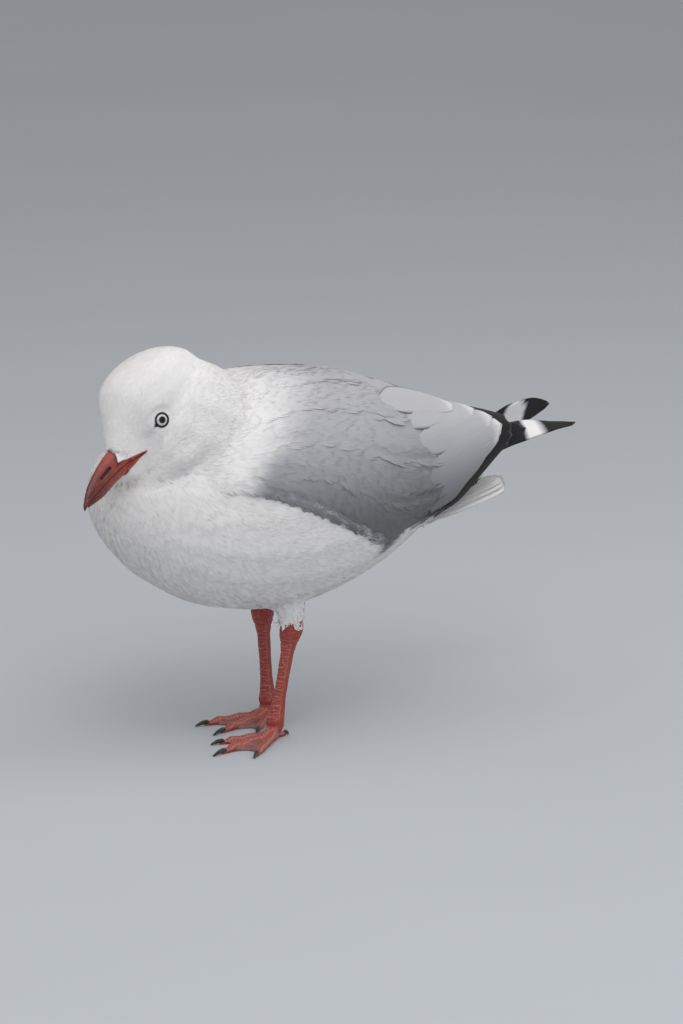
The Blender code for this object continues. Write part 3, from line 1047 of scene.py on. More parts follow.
@dataclass
class Leg:
    """One bare leg: shank with scutes, hock folds, toes and webs."""

    side: Side  # which side of the bird
    voxel: float = 0.5 * MM  # grain of its mesh

    def build(self) -> Object:
        """Build the leg, smooth.

        Returns:
            The leg, without a finish.
        """
        nodes = [f"{part}_{self.side}" for part in ("tarsus", "foot")]
        item = copy_nodes(f"leg_{self.side}", nodes, 0.2 * MM)
        remesh(item, self.voxel, 3)
        return item

    def detail(self, places: Array) -> tuple[Array, Array, Array, Array]:
        """Relief and markings of the leg's skin.

        Args:
            places: Row-frame metres.

        Returns:
            Relief in millimetres, pale seams, webs and chance.
        """
        points = stance_mm(places)
        leg = LEGS[self.side]
        turn = math.radians(leg["turn"])
        ankle, hock = np.array(leg["ankle"], float), np.array(leg["hock"], float)
        z = points[:, 2]
        axis = ankle + (hock - ankle) * ((z - ANKLE_MM) / (HOCK_MM - ANKLE_MM))[:, None]
        away = points[:, :2] - axis
        front = away @ np.array((math.sin(turn), -math.cos(turn)))
        aside = away @ np.array((math.cos(turn), math.sin(turn)))
        angle = np.arctan2(aside, front)
        shank = ease(z, 8, 13)
        step = z / SCUTE_MM + 0.3 * np.sin(angle * 1.5 + z * 0.23) + 0.2 * np.sin(z * 0.9)
        arch, groove = scutes(step, 0.13)
        facing = ease(np.abs(angle), 1.25, 0.8) * ease(z, 56, 49)
        relief = shank * facing * (0.16 * arch - 0.1 * groove)
        seam = shank * facing * groove * (0.45 + 0.2 * np.sin(z * 1.7 + angle * 3))
        border = bell(np.abs(angle), 1.05, 0.09) * shank * ease(z, 54, 48)
        relief = relief - 0.14 * border
        seam = np.maximum(seam, 0.7 * border * (0.5 + 0.5 * np.sin(z * 5.2)))
        fold = bell(z - 50.5 - 0.5 * np.cos(angle), 0, 0.55)
        fold = fold + 0.6 * bell(z - 55.5 + 1.6 * np.sin(angle), 0, 0.45)
        fold = fold + 0.6 * bell(z - 58.6 + 1.9 * np.sin(angle), 0, 0.45)
        relief = relief - 0.3 * fold
        knob = 0.8 * bell(z, 56.5, 4) - 0.35 * bell(z, 46, 5)
        cuff = 0.45 * bell(z, 10.5, 2) - 0.45 * bell(z, 7.6, 0.6)
        relief = relief + knob + cuff * ease(np.abs(angle), 2.4, 1.6)
        web = ease(z, 5, 3.4)
        chance = 0.5 + 0.5 * np.sin(np.floor(step) * 12.9898)
        out = points[:, :2] - ankle
        for spread_angle, length, half in TOES.values():
            heading = turn + self.side.value * math.radians(spread_angle)
            along = out @ np.array((math.sin(heading), -math.cos(heading)))
            across = out @ np.array((math.cos(heading), math.sin(heading)))
            wide = half * (1.15 - 0.3 * np.clip(along / length, 0, 1))
            on_toe = ease(np.abs(across), wide + 0.5, wide - 0.1) * ease(along, -2, 1) * (along < length + 2)
            on_toe = on_toe * ease(z, 8, 6)
            arch, line = scutes(along / SCUTE_MM, 0.14)
            top = ease(z, 1.0, 2.0)
            relief = relief + on_toe * top * (0.12 * arch - 0.12 * line)
            stitch = bell(np.abs(across) - 0.75 * wide, 0, 0.28)
            seam = np.maximum(seam, on_toe * top * np.maximum(0.6 * line, 0.45 * stitch))
            web = web * (1 - on_toe)
        reach = np.hypot(*out.T)
        bearing = np.arctan2(out[:, 0], -out[:, 1])
        wrinkle = np.sin(reach * 2.6 + 1.2 * np.sin(bearing * 9)) * np.sin(bearing * 40 + reach * 0.7)
        relief = relief + web * (0.07 * wrinkle + 0.1)
        return relief, np.clip(seam, 0, 1), web, chance


@dataclass
class Talons:
    """The four claws of one foot, smooth and curved."""

    side: Side  # which side of the bird
    material: Material  # claw finish

    def build(self) -> Object:
        """Build the claws.

        Returns:
            The piece.
        """
        nodes = [f"claw_{self.side}_{toe}" for toe in TOES]
        item = copy_nodes(f"talons_{self.side}", nodes, 0.16 * MM)
        apply_modifier(item, "REMESH", mode="VOXEL", voxel_size=0.22 * MM)
        apply_modifier(item, "SMOOTH", factor=0.5, iterations=3)
        item.data.materials.append(self.material)
        item.data.shade_smooth()
        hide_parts(*nodes)
        return item


# ---------------------------------------------------------------- eyes and bill
@dataclass
class Eye:
    """One eyeball: sunk pupil, fibrous iris and the black beyond it."""

    side: Side  # which side of the bird
    material: Material  # eye finish
    iris_mm: float = 3.0  # radius of the iris
    pupil_mm: float = 1.85  # radius of the pupil

    def build(self) -> Object:
        """Build the eyeball on the end of the eye line.

        Returns:
            The piece.
        """
        bpy.ops.object.select_all(action="DESELECT")
        bpy.ops.mesh.primitive_uv_sphere_add(segments=72, ring_count=64, radius=EYE_RADIUS_MM * MM)
        item = bpy.context.object
        item.name = f"eyeball_{self.side}"
        places, _ = vertex_arrays(item.data)
        local = places / MM
        away = np.hypot(local[:, 0], local[:, 1])
        around = np.arctan2(local[:, 1], local[:, 0])
        ahead = local[:, 2] > 0
        dish = 0.12 * ease(away, self.iris_mm, self.iris_mm - 0.5) * ahead
        sunk = 0.1 * ease(away, self.pupil_mm + 0.1, self.pupil_mm - 0.15) * ahead
        local[:, 2] -= dish + sunk
        pupil = ease(away, self.pupil_mm + 0.1, self.pupil_mm - 0.1)
        beyond = np.maximum(ease(away, self.iris_mm - 0.05, self.iris_mm + 0.1), ~ahead)
        outwards = np.clip((away - self.pupil_mm) / (self.iris_mm - self.pupil_mm), 0, 1)
        side = self.side.value
        ahead_axis, out_axis, up_axis = eye_axes(self.side)
        on_head = local @ np.stack([ahead_axis * side, up_axis, out_axis]) + (0, side * EYE_SIDE_MM, 0)
        set_places(item.data, head_world(on_head))
        marks = np.stack([np.maximum(pupil, beyond), around / 6.3 + 0.5, outwards], -1)
        fine = np.stack([np.cos(around) * 2, away, np.sin(around) * 2], -1)
        dress(item, self.material, marks, fine)
        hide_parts(f"eye_{self.side}")
        return item


GAPE_MM = (28.3, -4.5)  # where the face's feathers meet the mouth's corner, ahead and above


def feather_edge(above: Array) -> Array:
    """How far ahead the feathers reach over the upper bill, in millimetres on the head's axes."""
    return GAPE_MM[0] - np.maximum(above - GAPE_MM[1], 0) * 0.75


def mouth_lines(ahead: Array) -> Array:
    """Heights of the upper, middle and lower edge of the mouth's bare red corner, in millimetres."""
    behind = GAPE_MM[0] - ahead
    return np.stack([GAPE_MM[1] - behind * 0.27, -8.35 - behind * 0.02, -12.9 + behind * 0.265])


def lore_share(on_head: Array) -> Array:
    """How far places on the bill lie under the feathers that point onto it, 0 to 1.

    Args:
        on_head: Millimetres on the head's axes.

    Returns:
        Shares.
    """
    ahead, _, above = on_head.T
    upper = feather_edge(above)
    lower = mouth_lines(ahead)[0]
    return ease(ahead, upper + 0.3, upper - 0.3) * ease(above, lower - 0.25, lower + 0.25)


@dataclass
class Bill:
    """Upper and lower bill with nostrils, ridge, mouth line and the gape's red corner."""

    material: Material  # horn finish
    skin: Object  # the skin, whose cheek the corner of the mouth lies on
    voxel: float = 0.36 * MM  # grain of its mesh
    tree: BVHTree = None  # search tree of the skin's faces

    def build(self) -> list[Object]:
        """Build both jaws.

        Returns:
            The upper and the lower piece.
        """
        self.tree = mesh_tree(self.skin.data)
        return [self.half(jaw) for jaw in Jaw]

    def half(self, jaw: Jaw) -> Object:
        """Build one half of the bill.

        Args:
            jaw: Which half.

        Returns:
            The piece.
        """
        node = f"bill_{jaw.value}"
        item = copy_nodes(f"horn_{jaw.value}", [node], 0.1 * MM)
        remesh(item, self.voxel, 5)
        places, normals = vertex_arrays(item.data)
        on_head = head_mm(places)
        outward = unit(spread(normals, mesh_edges(item.data), 2)) @ HEAD_AXES
        moved = on_head + outward * self.relief(jaw, on_head)[:, None]
        moved[:, 1] += self.gape(jaw, on_head)
        set_places(item.data, head_world(moved))
        dress(item, self.material, self.marks(jaw, moved), moved)
        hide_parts(node)
        return item

    def nostril(self, on_head: Array) -> Array:
        """Distance from the nostril's slit in the side view, in millimetres.

        Args:
            on_head: Millimetres on the head's axes.

        Returns:
            One distance for each place.
        """
        start, length = 33.6, 7.2
        ahead, _, above = on_head.T
        share = np.clip((ahead - start) / length, 0, 1)
        return np.hypot(ahead - (start + length * share), (above + 3.9 + 0.5 * share) * (1.0 + 0.3 * share))

    def relief(self, jaw: Jaw, on_head: Array) -> Array:
        """Height of the bill's relief, in millimetres.

        Args:
            jaw: Which half.
            on_head: Millimetres on the head's axes.

        Returns:
            One value for each place.
        """
        ahead, aside, above = on_head.T
        if jaw is Jaw.UPPER:
            slit = self.nostril(on_head)
            dent = 0.3 * bell(slit, 0, 1.8) + 1.1 * ease(slit, 0.95, 0.4)
            ridge = 0.22 * bell(aside, 0, 1.3) * (above > -4)
            return ridge - dent - 0.16 * bell(above, -7.0, 0.5) * ease(ahead, 24, 32)
        return -0.16 * bell(above, -10.2, 0.5) * ease(ahead, 50, 40)

    def gape(self, jaw: Jaw, on_head: Array) -> Array:
        """How far the gape's corner reaches out over the cheek, in millimetres to the left.

        Args:
            jaw: Which half.
            on_head: Millimetres on the head's axes.

        Returns:
            Moves.
        """
        ahead, aside, above = on_head.T
        top, middle, bottom = mouth_lines(ahead)
        high, low = (top, middle) if jaw is Jaw.UPPER else (middle, bottom)
        lip = ease(above, high + 0.35, high - 0.05) * ease(above, low - 0.35, low + 0.05)
        lip = lip * ease(ahead, 12.4, 13.6) * ease(ahead, 34, 30)
        cheek = np.maximum(self.cheek(on_head, lip > 0.02), self.cheek(on_head - (1.3, 0, 0), lip > 0.02))
        return np.sign(aside) * np.maximum(cheek + 0.5 - np.abs(aside), 0) * lip * (np.abs(aside) > 2)

    def cheek(self, on_head: Array, wanted: Array, reach: float = 25) -> Array:
        """How far out the skin's cheek lies beside places on the bill.

        Args:
            on_head: Millimetres on the head's axes.
            wanted: Which places to look at.
            reach: How far out the look starts, in millimetres.

        Returns:
            Millimetres from the middle of the head, 0 where it isn't looked at.
        """
        found = np.zeros(len(on_head))
        for index in np.flatnonzero(wanted):
            ahead, aside, above = on_head[index]
            side = math.copysign(1, aside)
            start = HEAD_MIDDLE + HEAD_AXES @ (ahead, side * reach, above) * MM
            hit = self.tree.ray_cast(Vector(start), Vector(HEAD_AXES @ (0, -side, 0)), reach * MM)
            if hit[0] is not None:
                found[index] = reach - hit[3] / MM
        return found

    def marks(self, jaw: Jaw, on_head: Array) -> Array:
        """Dark share, place along and feathered share at places on the bill.

        Args:
            jaw: Which half.
            on_head: Millimetres on the head's axes.

        Returns:
            Three columns.
        """
        ahead, _, above = on_head.T
        along, mouth = (8, 24, 38, 46, 52, 57, 58.5), (-9.5, -8.35, -8.0, -8.3, -9.0, -10.2, -11.2)
        edge = np.interp(ahead, along, mouth)
        dark = 0.85 * ease(np.abs(above - edge), 0.55, 0.2)
        feathered = np.zeros(len(on_head))
        if jaw is Jaw.UPPER:
            dark = np.maximum(dark, ease(self.nostril(on_head), 1.15, 0.8))
            feathered = lore_share(on_head)
            past = np.maximum(ahead - feather_edge(above) - 0.4, 0)
            rim = bell(past, 0, 1.4) * ease(above, -6.4, -5.4)
            dark = np.maximum(dark, 0.85 * rim)
        return np.stack([dark, (ahead - 20) / 40, feathered], -1)


class Lie:
    """The skin as arrays, with the way the coat lies at each vertex, and tools to walk over it.

    Attributes:
        places: Vertex places in metres.
        normals: Smoothed vertex normals.
        flow: Unit vectors along the lie of the coat.
        label: Value of Part for each vertex.
        winged: How far each vertex belongs to wing or mantle, 0 to 1.
        tone: Marking value of each vertex, with painted shade low on the wing and behind the eyes.
    """

    def __init__(self, item: Object, label: Array) -> None:
        """Read the skin and work out the lie of the coat.

        Args:
            item: The skin, or the bill where feathers point onto it.
            label: Value of Part for each vertex.
        """
        mesh = item.data
        places, normals = vertex_arrays(mesh)
        keep = label != Part.LEG
        index = np.cumsum(keep) - 1
        edges = mesh_edges(mesh)
        self.places, normals, self.label = places[keep], normals[keep], label[keep]
        self.edges = index[edges[keep[edges].all(1)]]
        self.normals = unit(spread(normals, self.edges, 5))
        mesh.calc_loop_triangles()
        faces = corner_rows(mesh.loop_triangles, 3)
        self.faces = index[faces[keep[faces].all(1)]]
        self.kd = kd_tree(self.places)
        self.solid = BVHTree.FromPolygons(self.places.tolist(), self.faces.tolist())
        self.winged = self.wing_share()
        self.tone = marking(self.places, self.winged)
        self.flow = self.lie_of_coat()

    def wing_share(self) -> Array:
        """How far each vertex belongs to a wing or the mantle between them, 0 to 1.

        Returns:
            The shares.
        """
        x, y, z = stance_mm(self.places).T
        wing = np.isin(self.label, WINGS).astype(float)
        wing = np.where((self.label == Part.TRUNK) & (z > 166) & (y > -45), 1.0, wing)
        wing = np.where((self.label == Part.NECK) & (y > -48) & (z > 160), 1.0, wing)
        rear = (y > 45) & (y < 100) & (z > 96.5 + (y - 50) * 0.47) & (np.abs(x) > 22)
        wing = np.where((self.label == Part.TRUNK) & rear, 1.0, wing)
        return np.clip(spread(wing, self.edges, 3), 0, 1)

    def lie_of_coat(self) -> Array:
        """Direction of the coat at each vertex, from rules for head, body, wings and thighs.

        Returns:
            Unit vectors along the skin.
        """
        x, y, z = stance_mm(self.places).T
        front = ease(y, -20, -95)[:, None]
        flow = np.array((0, 1, -0.24)) * (1 - front) + np.array((0, 0.62, -1)) * front
        forward, _, up = HEAD_AXES.T
        on_head = head_mm(self.places)
        back = np.tile(-forward, (len(self.places), 1))
        cheek = ease(on_head[:, 2], 0, -25)[:, None] * ease(on_head[:, 0], 10, -20)[:, None]
        back = back * (1 - 0.55 * cheek) - up * 0.45 * cheek
        flow = np.where((self.label == Part.HEAD)[:, None], back, flow)
        nape = back * 0.55 + np.array((0, 0.9, -0.45)) * 0.45
        flow = np.where((self.label == Part.NECK)[:, None], nape, flow)
        side = np.sign(x)
        tip = np.stack([side * 9, np.full_like(y, 205), np.full_like(z, 142)], 1)
        homing = unit(tip - np.stack([x, y, z], 1))
        sweep = (ease(z, 168, 128) * ease(y, 75, 10))[:, None]
        homing = homing * (1 - sweep) + unit(np.array((0, 0.62, -0.78))) * sweep
        flow = np.where(np.isin(self.label, WINGS)[:, None], homing, flow)
        flow = np.where(np.isin(self.label, THIGHS)[:, None], np.array((0, 0.15, -1)), flow)
        for _ in range(4):
            flow = spread(tangent(flow, self.normals), self.edges, 6)
        return tangent(flow, self.normals)

    def nearest(self, points: Array) -> Array:
        """Index of the skin vertex nearest to each point."""
        return np.array([self.kd.find(p)[1] for p in points.tolist()], int)

    def settle(self, points: Array) -> tuple[Array, Array]:
        """Drop points onto the skin.

        Args:
            points: Places near the skin.

        Returns:
            Places on the skin, and the nearest vertices.
        """
        near = self.nearest(points)
        normals = self.normals[near]
        gap = ((points - self.places[near]) * normals).sum(1, keepdims=True)
        return points - normals * gap, near

    def scatter(self, spacing_mm: Array, allowed: Array, rng: np.random.Generator) -> Array:
        """Spread roots over the skin so that none is nearer to another than the spacing.

        Args:
            spacing_mm: Spacing at each vertex.
            allowed: Which vertices may carry roots.
            rng: Seeded random numbers.

        Returns:
            Root places.
        """
        faces = self.faces[allowed[self.faces].all(1)]
        a, b, c = (self.places[faces[:, i]] for i in range(3))
        area = np.linalg.norm(np.cross(b - a, c - a), axis=1) / 2
        gap = spacing_mm[faces].mean(1) * MM
        want = area / (gap * gap)
        count = int(want.sum() * 3.2)
        pick = rng.choice(len(faces), count, p=want / want.sum())
        u, v = rng.random((2, count))
        flip = u + v > 1
        u, v = np.where(flip, 1 - u, u), np.where(flip, 1 - v, v)
        points = a[pick] + (b - a)[pick] * u[:, None] + (c - a)[pick] * v[:, None]
        gap = gap[pick]
        tree = kd_tree(points)
        state = np.zeros(count, np.int8)
        places = points.tolist()
        for i in range(count):
            if state[i] == 0:
                for _, j, _ in tree.find_range(places[i], gap[i]):
                    state[j] = 2
                state[i] = 1
        return points[state == 1]

    def walk(self, roots: Array, length: Array, yaw: Array, stations: int) -> tuple:
        """Follow the lie of the coat over the skin from each root.

        Args:
            roots: Starting places.
            length: How far to go from each.
            yaw: Turn of each path away from the lie, in radians.
            stations: How many places to note on each path.

        Returns:
            Places, normals, directions and tones, each with a row for every station.
        """
        points, near = self.settle(roots)
        step = (length / (stations - 1))[:, None]
        turn_c, turn_s = np.cos(yaw)[:, None], np.sin(yaw)[:, None]
        heading = self.flow[near]
        found = ([], [], [], [])
        for _ in range(stations):
            normals = self.normals[near]
            aim = self.flow[near] * turn_c + np.cross(normals, self.flow[near]) * turn_s
            heading = tangent(unit(heading * 0.35 + aim * 0.65), normals)
            for rows, values in zip(found, (points, normals, heading, self.tone[near])):
                rows.append(values)
            points, near = self.settle(points + heading * step)
        return tuple(np.array(rows) for rows in found)


@dataclass
class FaceBridge:
    """Paths that lead from the feathered base of the bill back onto the face."""

    face: Lie  # the skin and the lie of the coat, on which the paths end
    base: Lie  # the bill as the lie of its small feathers, on which they start

    def __post_init__(self) -> None:
        """Find the face's outer side, without the socket that the bill sits in."""
        ahead, aside, above = head_mm(self.face.places).T
        _, out, rise = (self.face.normals @ HEAD_AXES).T
        self.outer = np.flatnonzero((out * aside + rise * (above + 8) > 0) | (ahead < 8))
        self.kd = kd_tree(self.face.places[self.outer])

    def nearest(self, points: Array) -> Array:
        """Index of the nearest vertex on the face's outer side to each point."""
        return self.outer[np.array([self.kd.find(p)[1] for p in points.tolist()], int)]

    def lift(self, points: Array) -> Array:
        """Heights of places over the face, in metres."""
        near = self.nearest(points)
        return ((points - self.face.places[near]) * self.face.normals[near]).sum(1)

    def walk(self, roots: Array, length: Array, yaw: Array, stations: int) -> tuple:
        """Lead straight back from each root, from the bill's height to the face's.

        Args:
            roots: Starting places on the bill.
            length: How far to go from each.
            yaw: Turn of each path, in radians.
            stations: How many places to note on each path.

        Returns:
            Places, normals, directions and tones, each with a row for every station.
        """
        forward, left, _ = HEAD_AXES.T
        heading = left * np.sin(yaw)[:, None] - forward * np.cos(yaw)[:, None]
        lift = self.lift(roots)
        start = self.base.normals[self.base.nearest(roots)]
        places, rises, tones = [], [], []
        for share in np.linspace(0, 1, stations):
            points = roots + heading * (length * share)[:, None]
            near = self.nearest(points)
            normals = self.face.normals[near]
            gap = ((points - self.face.places[near]) * normals).sum(1)
            over = lift * (1 - share) + 0.35 * MM * share
            places.append(points + normals * (over - gap)[:, None])
            rises.append(unit(start * (1 - share) + normals * share))
            tones.append(0 * lift)
        ahead = unit(np.gradient(np.array(places), axis=0))
        return np.array(places), np.array(rises), ahead, np.array(tones)


class Unwrap:
    """A flat layout of the skin's own shape, where each feather's patch has its root's place."""

    def __init__(self, skin: Object) -> None:
        """Unwrap a light copy of the skin.

        Args:
            skin: The skin object.
        """
        copy = new_object("unwrap", skin.data.copy())
        apply_modifier(copy, "DECIMATE", ratio=min(1.0, 7000 / max(1, len(skin.data.polygons) * 2)))
        apply_modifier(copy, "TRIANGULATE")
        alone(copy)
        bpy.ops.object.mode_set(mode="EDIT")
        bpy.ops.mesh.select_all(action="SELECT")
        bpy.ops.uv.smart_project(angle_limit=math.radians(66), island_margin=0.01)
        bpy.ops.object.mode_set(mode="OBJECT")
        mesh = copy.data
        self.points = [v.co.copy() for v in mesh.vertices]
        self.faces = [tuple(p.vertices) for p in mesh.polygons]
        layer = mesh.uv_layers.active.data
        self.corners = [[Vector((*layer[i].uv, 0)) for i in p.loop_indices] for p in mesh.polygons]
        self.tree = BVHTree.FromPolygons(self.points, self.faces)
        bpy.data.objects.remove(copy)

    def at(self, points: Array) -> Array:
        """Layout places of points near the skin.

        Args:
            points: Places in metres.

        Returns:
            Two columns, from 0 to 1.
        """
        found = []
        for point in points:
            place, _, index, _ = self.tree.find_nearest(point)
            a, b, c = (self.points[i] for i in self.faces[index])
            flat = barycentric_transform(place, a, b, c, *self.corners[index])
            found.append((flat.x, flat.y))
        return np.array(found)


# ---------------------------------------------------------------- coat
@dataclass(frozen=True)
class Tract:
    """How the feathers of one part of the coat are built."""

    strips: int  # barb locks side by side in a feather
    stations: int  # places along each lock, the last at its tip
    rounding: float = 0.22  # how much shorter the outer locks are than the middle one
    ragged: float = 0.14  # how much the locks' lengths differ by chance
    droop: float = 0.5  # how far a feather's sides bend down to the body, as a share of its height
    yaw: float = 0.1  # spread of the feathers' turn away from the lie, in radians
    ridge: float = 0.16  # height of a lock's crest, as a share of its half width

    def grow(self, lie: Lie, roots: Array, sizes_mm: tuple, rng: np.random.Generator) -> tuple:
        """Build every feather of the tract over the skin.

        Args:
            lie: The skin and the lie of the coat.
            roots: Places of the roots.
            sizes_mm: Length and half width of each feather, and its tip's height over the skin.
            rng: Seeded random numbers.

        Returns:
            Vertices, triangles of one lock, marks and layout offsets.
        """
        count, strips, corners = len(roots), self.strips, self.stations * 3 - 2
        length, half, tall = (np.asarray(size) * MM for size in sizes_mm)
        half, tall = half[:, None, None], tall[:, None, None]
        yaw = rng.normal(0, self.yaw, count)
        path, normal, heading, shade = lie.walk(roots, length, yaw, 5)
        lane = np.linspace(-1, 1, strips) if strips > 1 else np.zeros(1)
        lane = lane[None] + rng.normal(0, 0.25 / strips, (count, strips))
        reach = 1 - self.rounding * lane**2 - self.ragged * rng.random((count, strips))
        along = np.linspace(0, 1, self.stations)
        share = reach[..., None] * along
        where, each = share * (len(path) - 1), np.arange(count)[:, None, None]
        place, up, ahead, tone = (sampled(rows, where, each) for rows in (path, normal, heading, shade))
        up = unit(up)
        across = np.cross(unit(ahead), up)
        fan = 0.35 + 0.65 * np.sin(np.minimum(share / 0.55, 1) * math.pi / 2)
        fan = fan * (1 - 0.22 * ease(share, 0.7, 1.0))
        sideways = lane[..., None] * fan * half
        blade = half / strips * 1.4
        blade = blade * np.interp(along, (0, 0.35, 0.75, 1), (0.6, 1.0, 0.8, 0.0))
        height = tall * share**0.8 - 0.12 * MM
        height = height - self.droop * tall * (lane**2)[..., None] * share
        height = height + (rng.normal(0, 0.02, (count, strips)) * MM)[..., None] * share
        middle = place + across * sideways[..., None] + up * height[..., None]
        edge = across * blade[..., None]
        crest = up * (blade * self.ridge)[..., None]
        points = np.stack([middle - edge, middle + crest, middle + edge], 3)
        points = points.reshape(count, strips, -1, 3)[:, :, :corners]
        chance = 0.5 + rng.normal(0, 0.07, (count, 1)) + rng.normal(0, 0.14, (count, strips))
        chance = np.clip(chance, 0, 1)
        marks = np.stack([tone, chance[..., None] * np.ones_like(share), share], -1)
        marks = np.repeat(marks, 3, axis=2)[:, :, :corners]
        layout = np.stack([lane[..., None] * np.ones_like(share) * 0.0012, (share - 0.5) * 0.003], -1)
        return points, self.lock_faces(), marks, np.repeat(layout, 3, axis=2)[:, :, :corners]

    def lock_faces(self) -> Array:
        """Triangles of one closed lock: two facets above, one below, a cap at the root.

        Returns:
            Vertex indices, three to a face.
        """
        rows = self.stations
        faces = [(0, 2, 1)]
        for i in range(rows - 2):
            left, crest, right = 3 * i, 3 * i + 1, 3 * i + 2
            for a, b in ((left, crest), (crest, right), (right, left)):
                faces += [(a, b, b + 3), (a, b + 3, a + 3)]
        left, crest, right, tip = 3 * rows - 6, 3 * rows - 5, 3 * rows - 4, 3 * rows - 3
        faces += [(left, crest, tip), (crest, right, tip), (right, left, tip)]
        return np.array(faces)


@dataclass
class Coat:
    """All contour feathers, split into pieces by triangle count."""

    lie: Lie  # the skin and the lie of the coat
    unwrap: Unwrap  # flat layout of the skin
    material: Material  # plumage finish
    pieces: list[Object] = field(default_factory=list)  # what is grown

    def sizes(self) -> dict[str, Array]:
        """Spacing, length, half width and height of the feathers at each skin vertex, in millimetres.

        Returns:
            The four, by name.
        """
        lie = self.lie
        _, y, z = stance_mm(lie.places).T
        on_head = head_mm(lie.places)
        bill = np.linalg.norm(on_head - (16, 0, -9), axis=1) - 12
        fore, _, over = eye_mm(on_head)
        face = np.clip(np.minimum(bill, np.hypot(fore, over) - 3.5), 0, 40)
        table = {
            Part.HEAD: (0.7 + 0.017 * face, 2.2 + 0.17 * face, 0.45 + 0.025 * face, 0.3 + 0.018 * face),
            Part.NECK: (1.5, 10.0, 1.7, 0.8),
            Part.TRUNK: (2.0, 15.0, 2.5, 0.85),
            Part.WING_LEFT: (2.6, 16.0, 3.8, 0.45),
            Part.THIGH_LEFT: (1.2, 12.5, 1.0, 1.4),
        }
        twins = {Part.WING_RIGHT: Part.WING_LEFT, Part.THIGH_RIGHT: Part.THIGH_LEFT}
        label = np.array([twins.get(part, part) for part in Part])[lie.label]
        grown = 1 + 0.5 * ease(y, 0, 70) * ease(z, 118, 150)
        result = {}
        for row, name in enumerate(("spacing", "length", "half", "height")):
            values = np.select([label == part for part in table], [entry[row] for entry in table.values()])
            if name != "height":
                values = np.where(label == Part.WING_LEFT, values * grown, values)
            result[name] = spread(values, lie.edges, 12)
        return result

    def open_air(self, clearance: float = 7 * MM) -> Array:
        """Which skin vertices can carry a feather: those with room above them, off eyes and gape.

        Args:
            clearance: How much room they need.

        Returns:
            True where one can grow.
        """
        lie = self.lie
        lifted = (lie.places + lie.normals * 0.4 * MM).tolist()
        cast = lie.solid.ray_cast
        room = np.array([cast(p, n, clearance)[0] is None for p, n in zip(lifted, lie.normals.tolist())])
        ahead, aside, above = head_mm(lie.places).T
        fore, out, over = eye_mm(head_mm(lie.places))
        eye = np.hypot(np.maximum(fore, 0) / 1.3 + np.minimum(fore, 0), over)
        room &= ~((eye < LID_MM[1] + 0.15) & (np.abs(out) < 9))
        top, _, bottom = mouth_lines(ahead)
        mouth = (above < top + 0.2) & (above > bottom - 0.2) & (ahead > 12.8) & (np.abs(aside) > 3)
        _, y, z = stance_mm(lie.places).T
        hem = 68 + 0.72 * np.maximum(150 - z, 0) - 0.9 * np.maximum(z - 150, 0)
        return room & ~mouth & ~(np.isin(lie.label, WINGS) & (y > hem))

    def grow(self) -> None:
        """Grow every tract and store it in pieces."""
        lie = self.lie
        sizes = self.sizes()
        room = self.open_air()
        plans = (
            ("head", (Part.HEAD,), Tract(5, 3, rounding=0.1, ragged=0.45, ridge=0.2)),
            ("neck", (Part.NECK,), Tract(9, 4, rounding=0.1, ragged=0.45, yaw=0.06)),
            ("breast", (Part.TRUNK,), Tract(9, 4, rounding=0.1, ragged=0.45, yaw=0.08)),
            ("wing", WINGS, Tract(11, 4, rounding=0.25, ragged=0.2, droop=1.1, yaw=0.05)),
            ("thigh", THIGHS, Tract(4, 5, rounding=0.2, ragged=0.55, yaw=0.25)),
        )
        for seed, (name, parts, tract) in enumerate(plans):
            rng = np.random.default_rng(100 + seed)
            mask = np.isin(lie.label, parts)
            roots = lie.scatter(sizes["spacing"], mask & room, rng)
            near = lie.nearest(roots)
            vary = rng.normal(1, 0.1, len(roots))
            length, half, height = (sizes[k][near] for k in ("length", "half", "height"))
            self.store(name, roots, *tract.grow(lie, roots, (length * vary, half * vary, height), rng))

    def grow_lores(self, jaw: Object) -> None:
        """Grow the small feathers that point onto the upper bill.

        Args:
            jaw: The upper bill.
        """
        lie = Lie(jaw, np.full(len(jaw.data.vertices), Part.HEAD))
        allowed = lore_share(head_mm(lie.places)) > 0.6
        rng = np.random.default_rng(140)
        roots = lie.scatter(np.full(len(lie.places), 0.75), allowed, rng)
        tract = Tract(3, 3, rounding=0.15, ragged=0.3, yaw=0.12)
        size = rng.normal(1, 0.1, len(roots))
        self.store("lores", roots, *tract.grow(lie, roots, (2.1 * size, 0.5 * size, 0.45 * size), rng))
        bridge = FaceBridge(self.lie, lie)
        lift = bridge.lift(lie.places) / MM
        ahead, _, above = head_mm(lie.places).T
        border = (allowed & (lift < 2.4)) | ((above > -4) & (ahead > 17) & (lift < 0.5))
        roots = lie.scatter(np.full(len(lie.places), 0.55), border & (lift > -0.3), rng)
        tract = Tract(5, 4, rounding=0.15, ragged=0.4, yaw=0.12)
        size = rng.normal(1, 0.1, len(roots))
        grown = tract.grow(bridge, roots, (4.4 * size, 0.7 * size, 0.35 * size), rng)
        self.store("lore_fringe", roots, *grown)

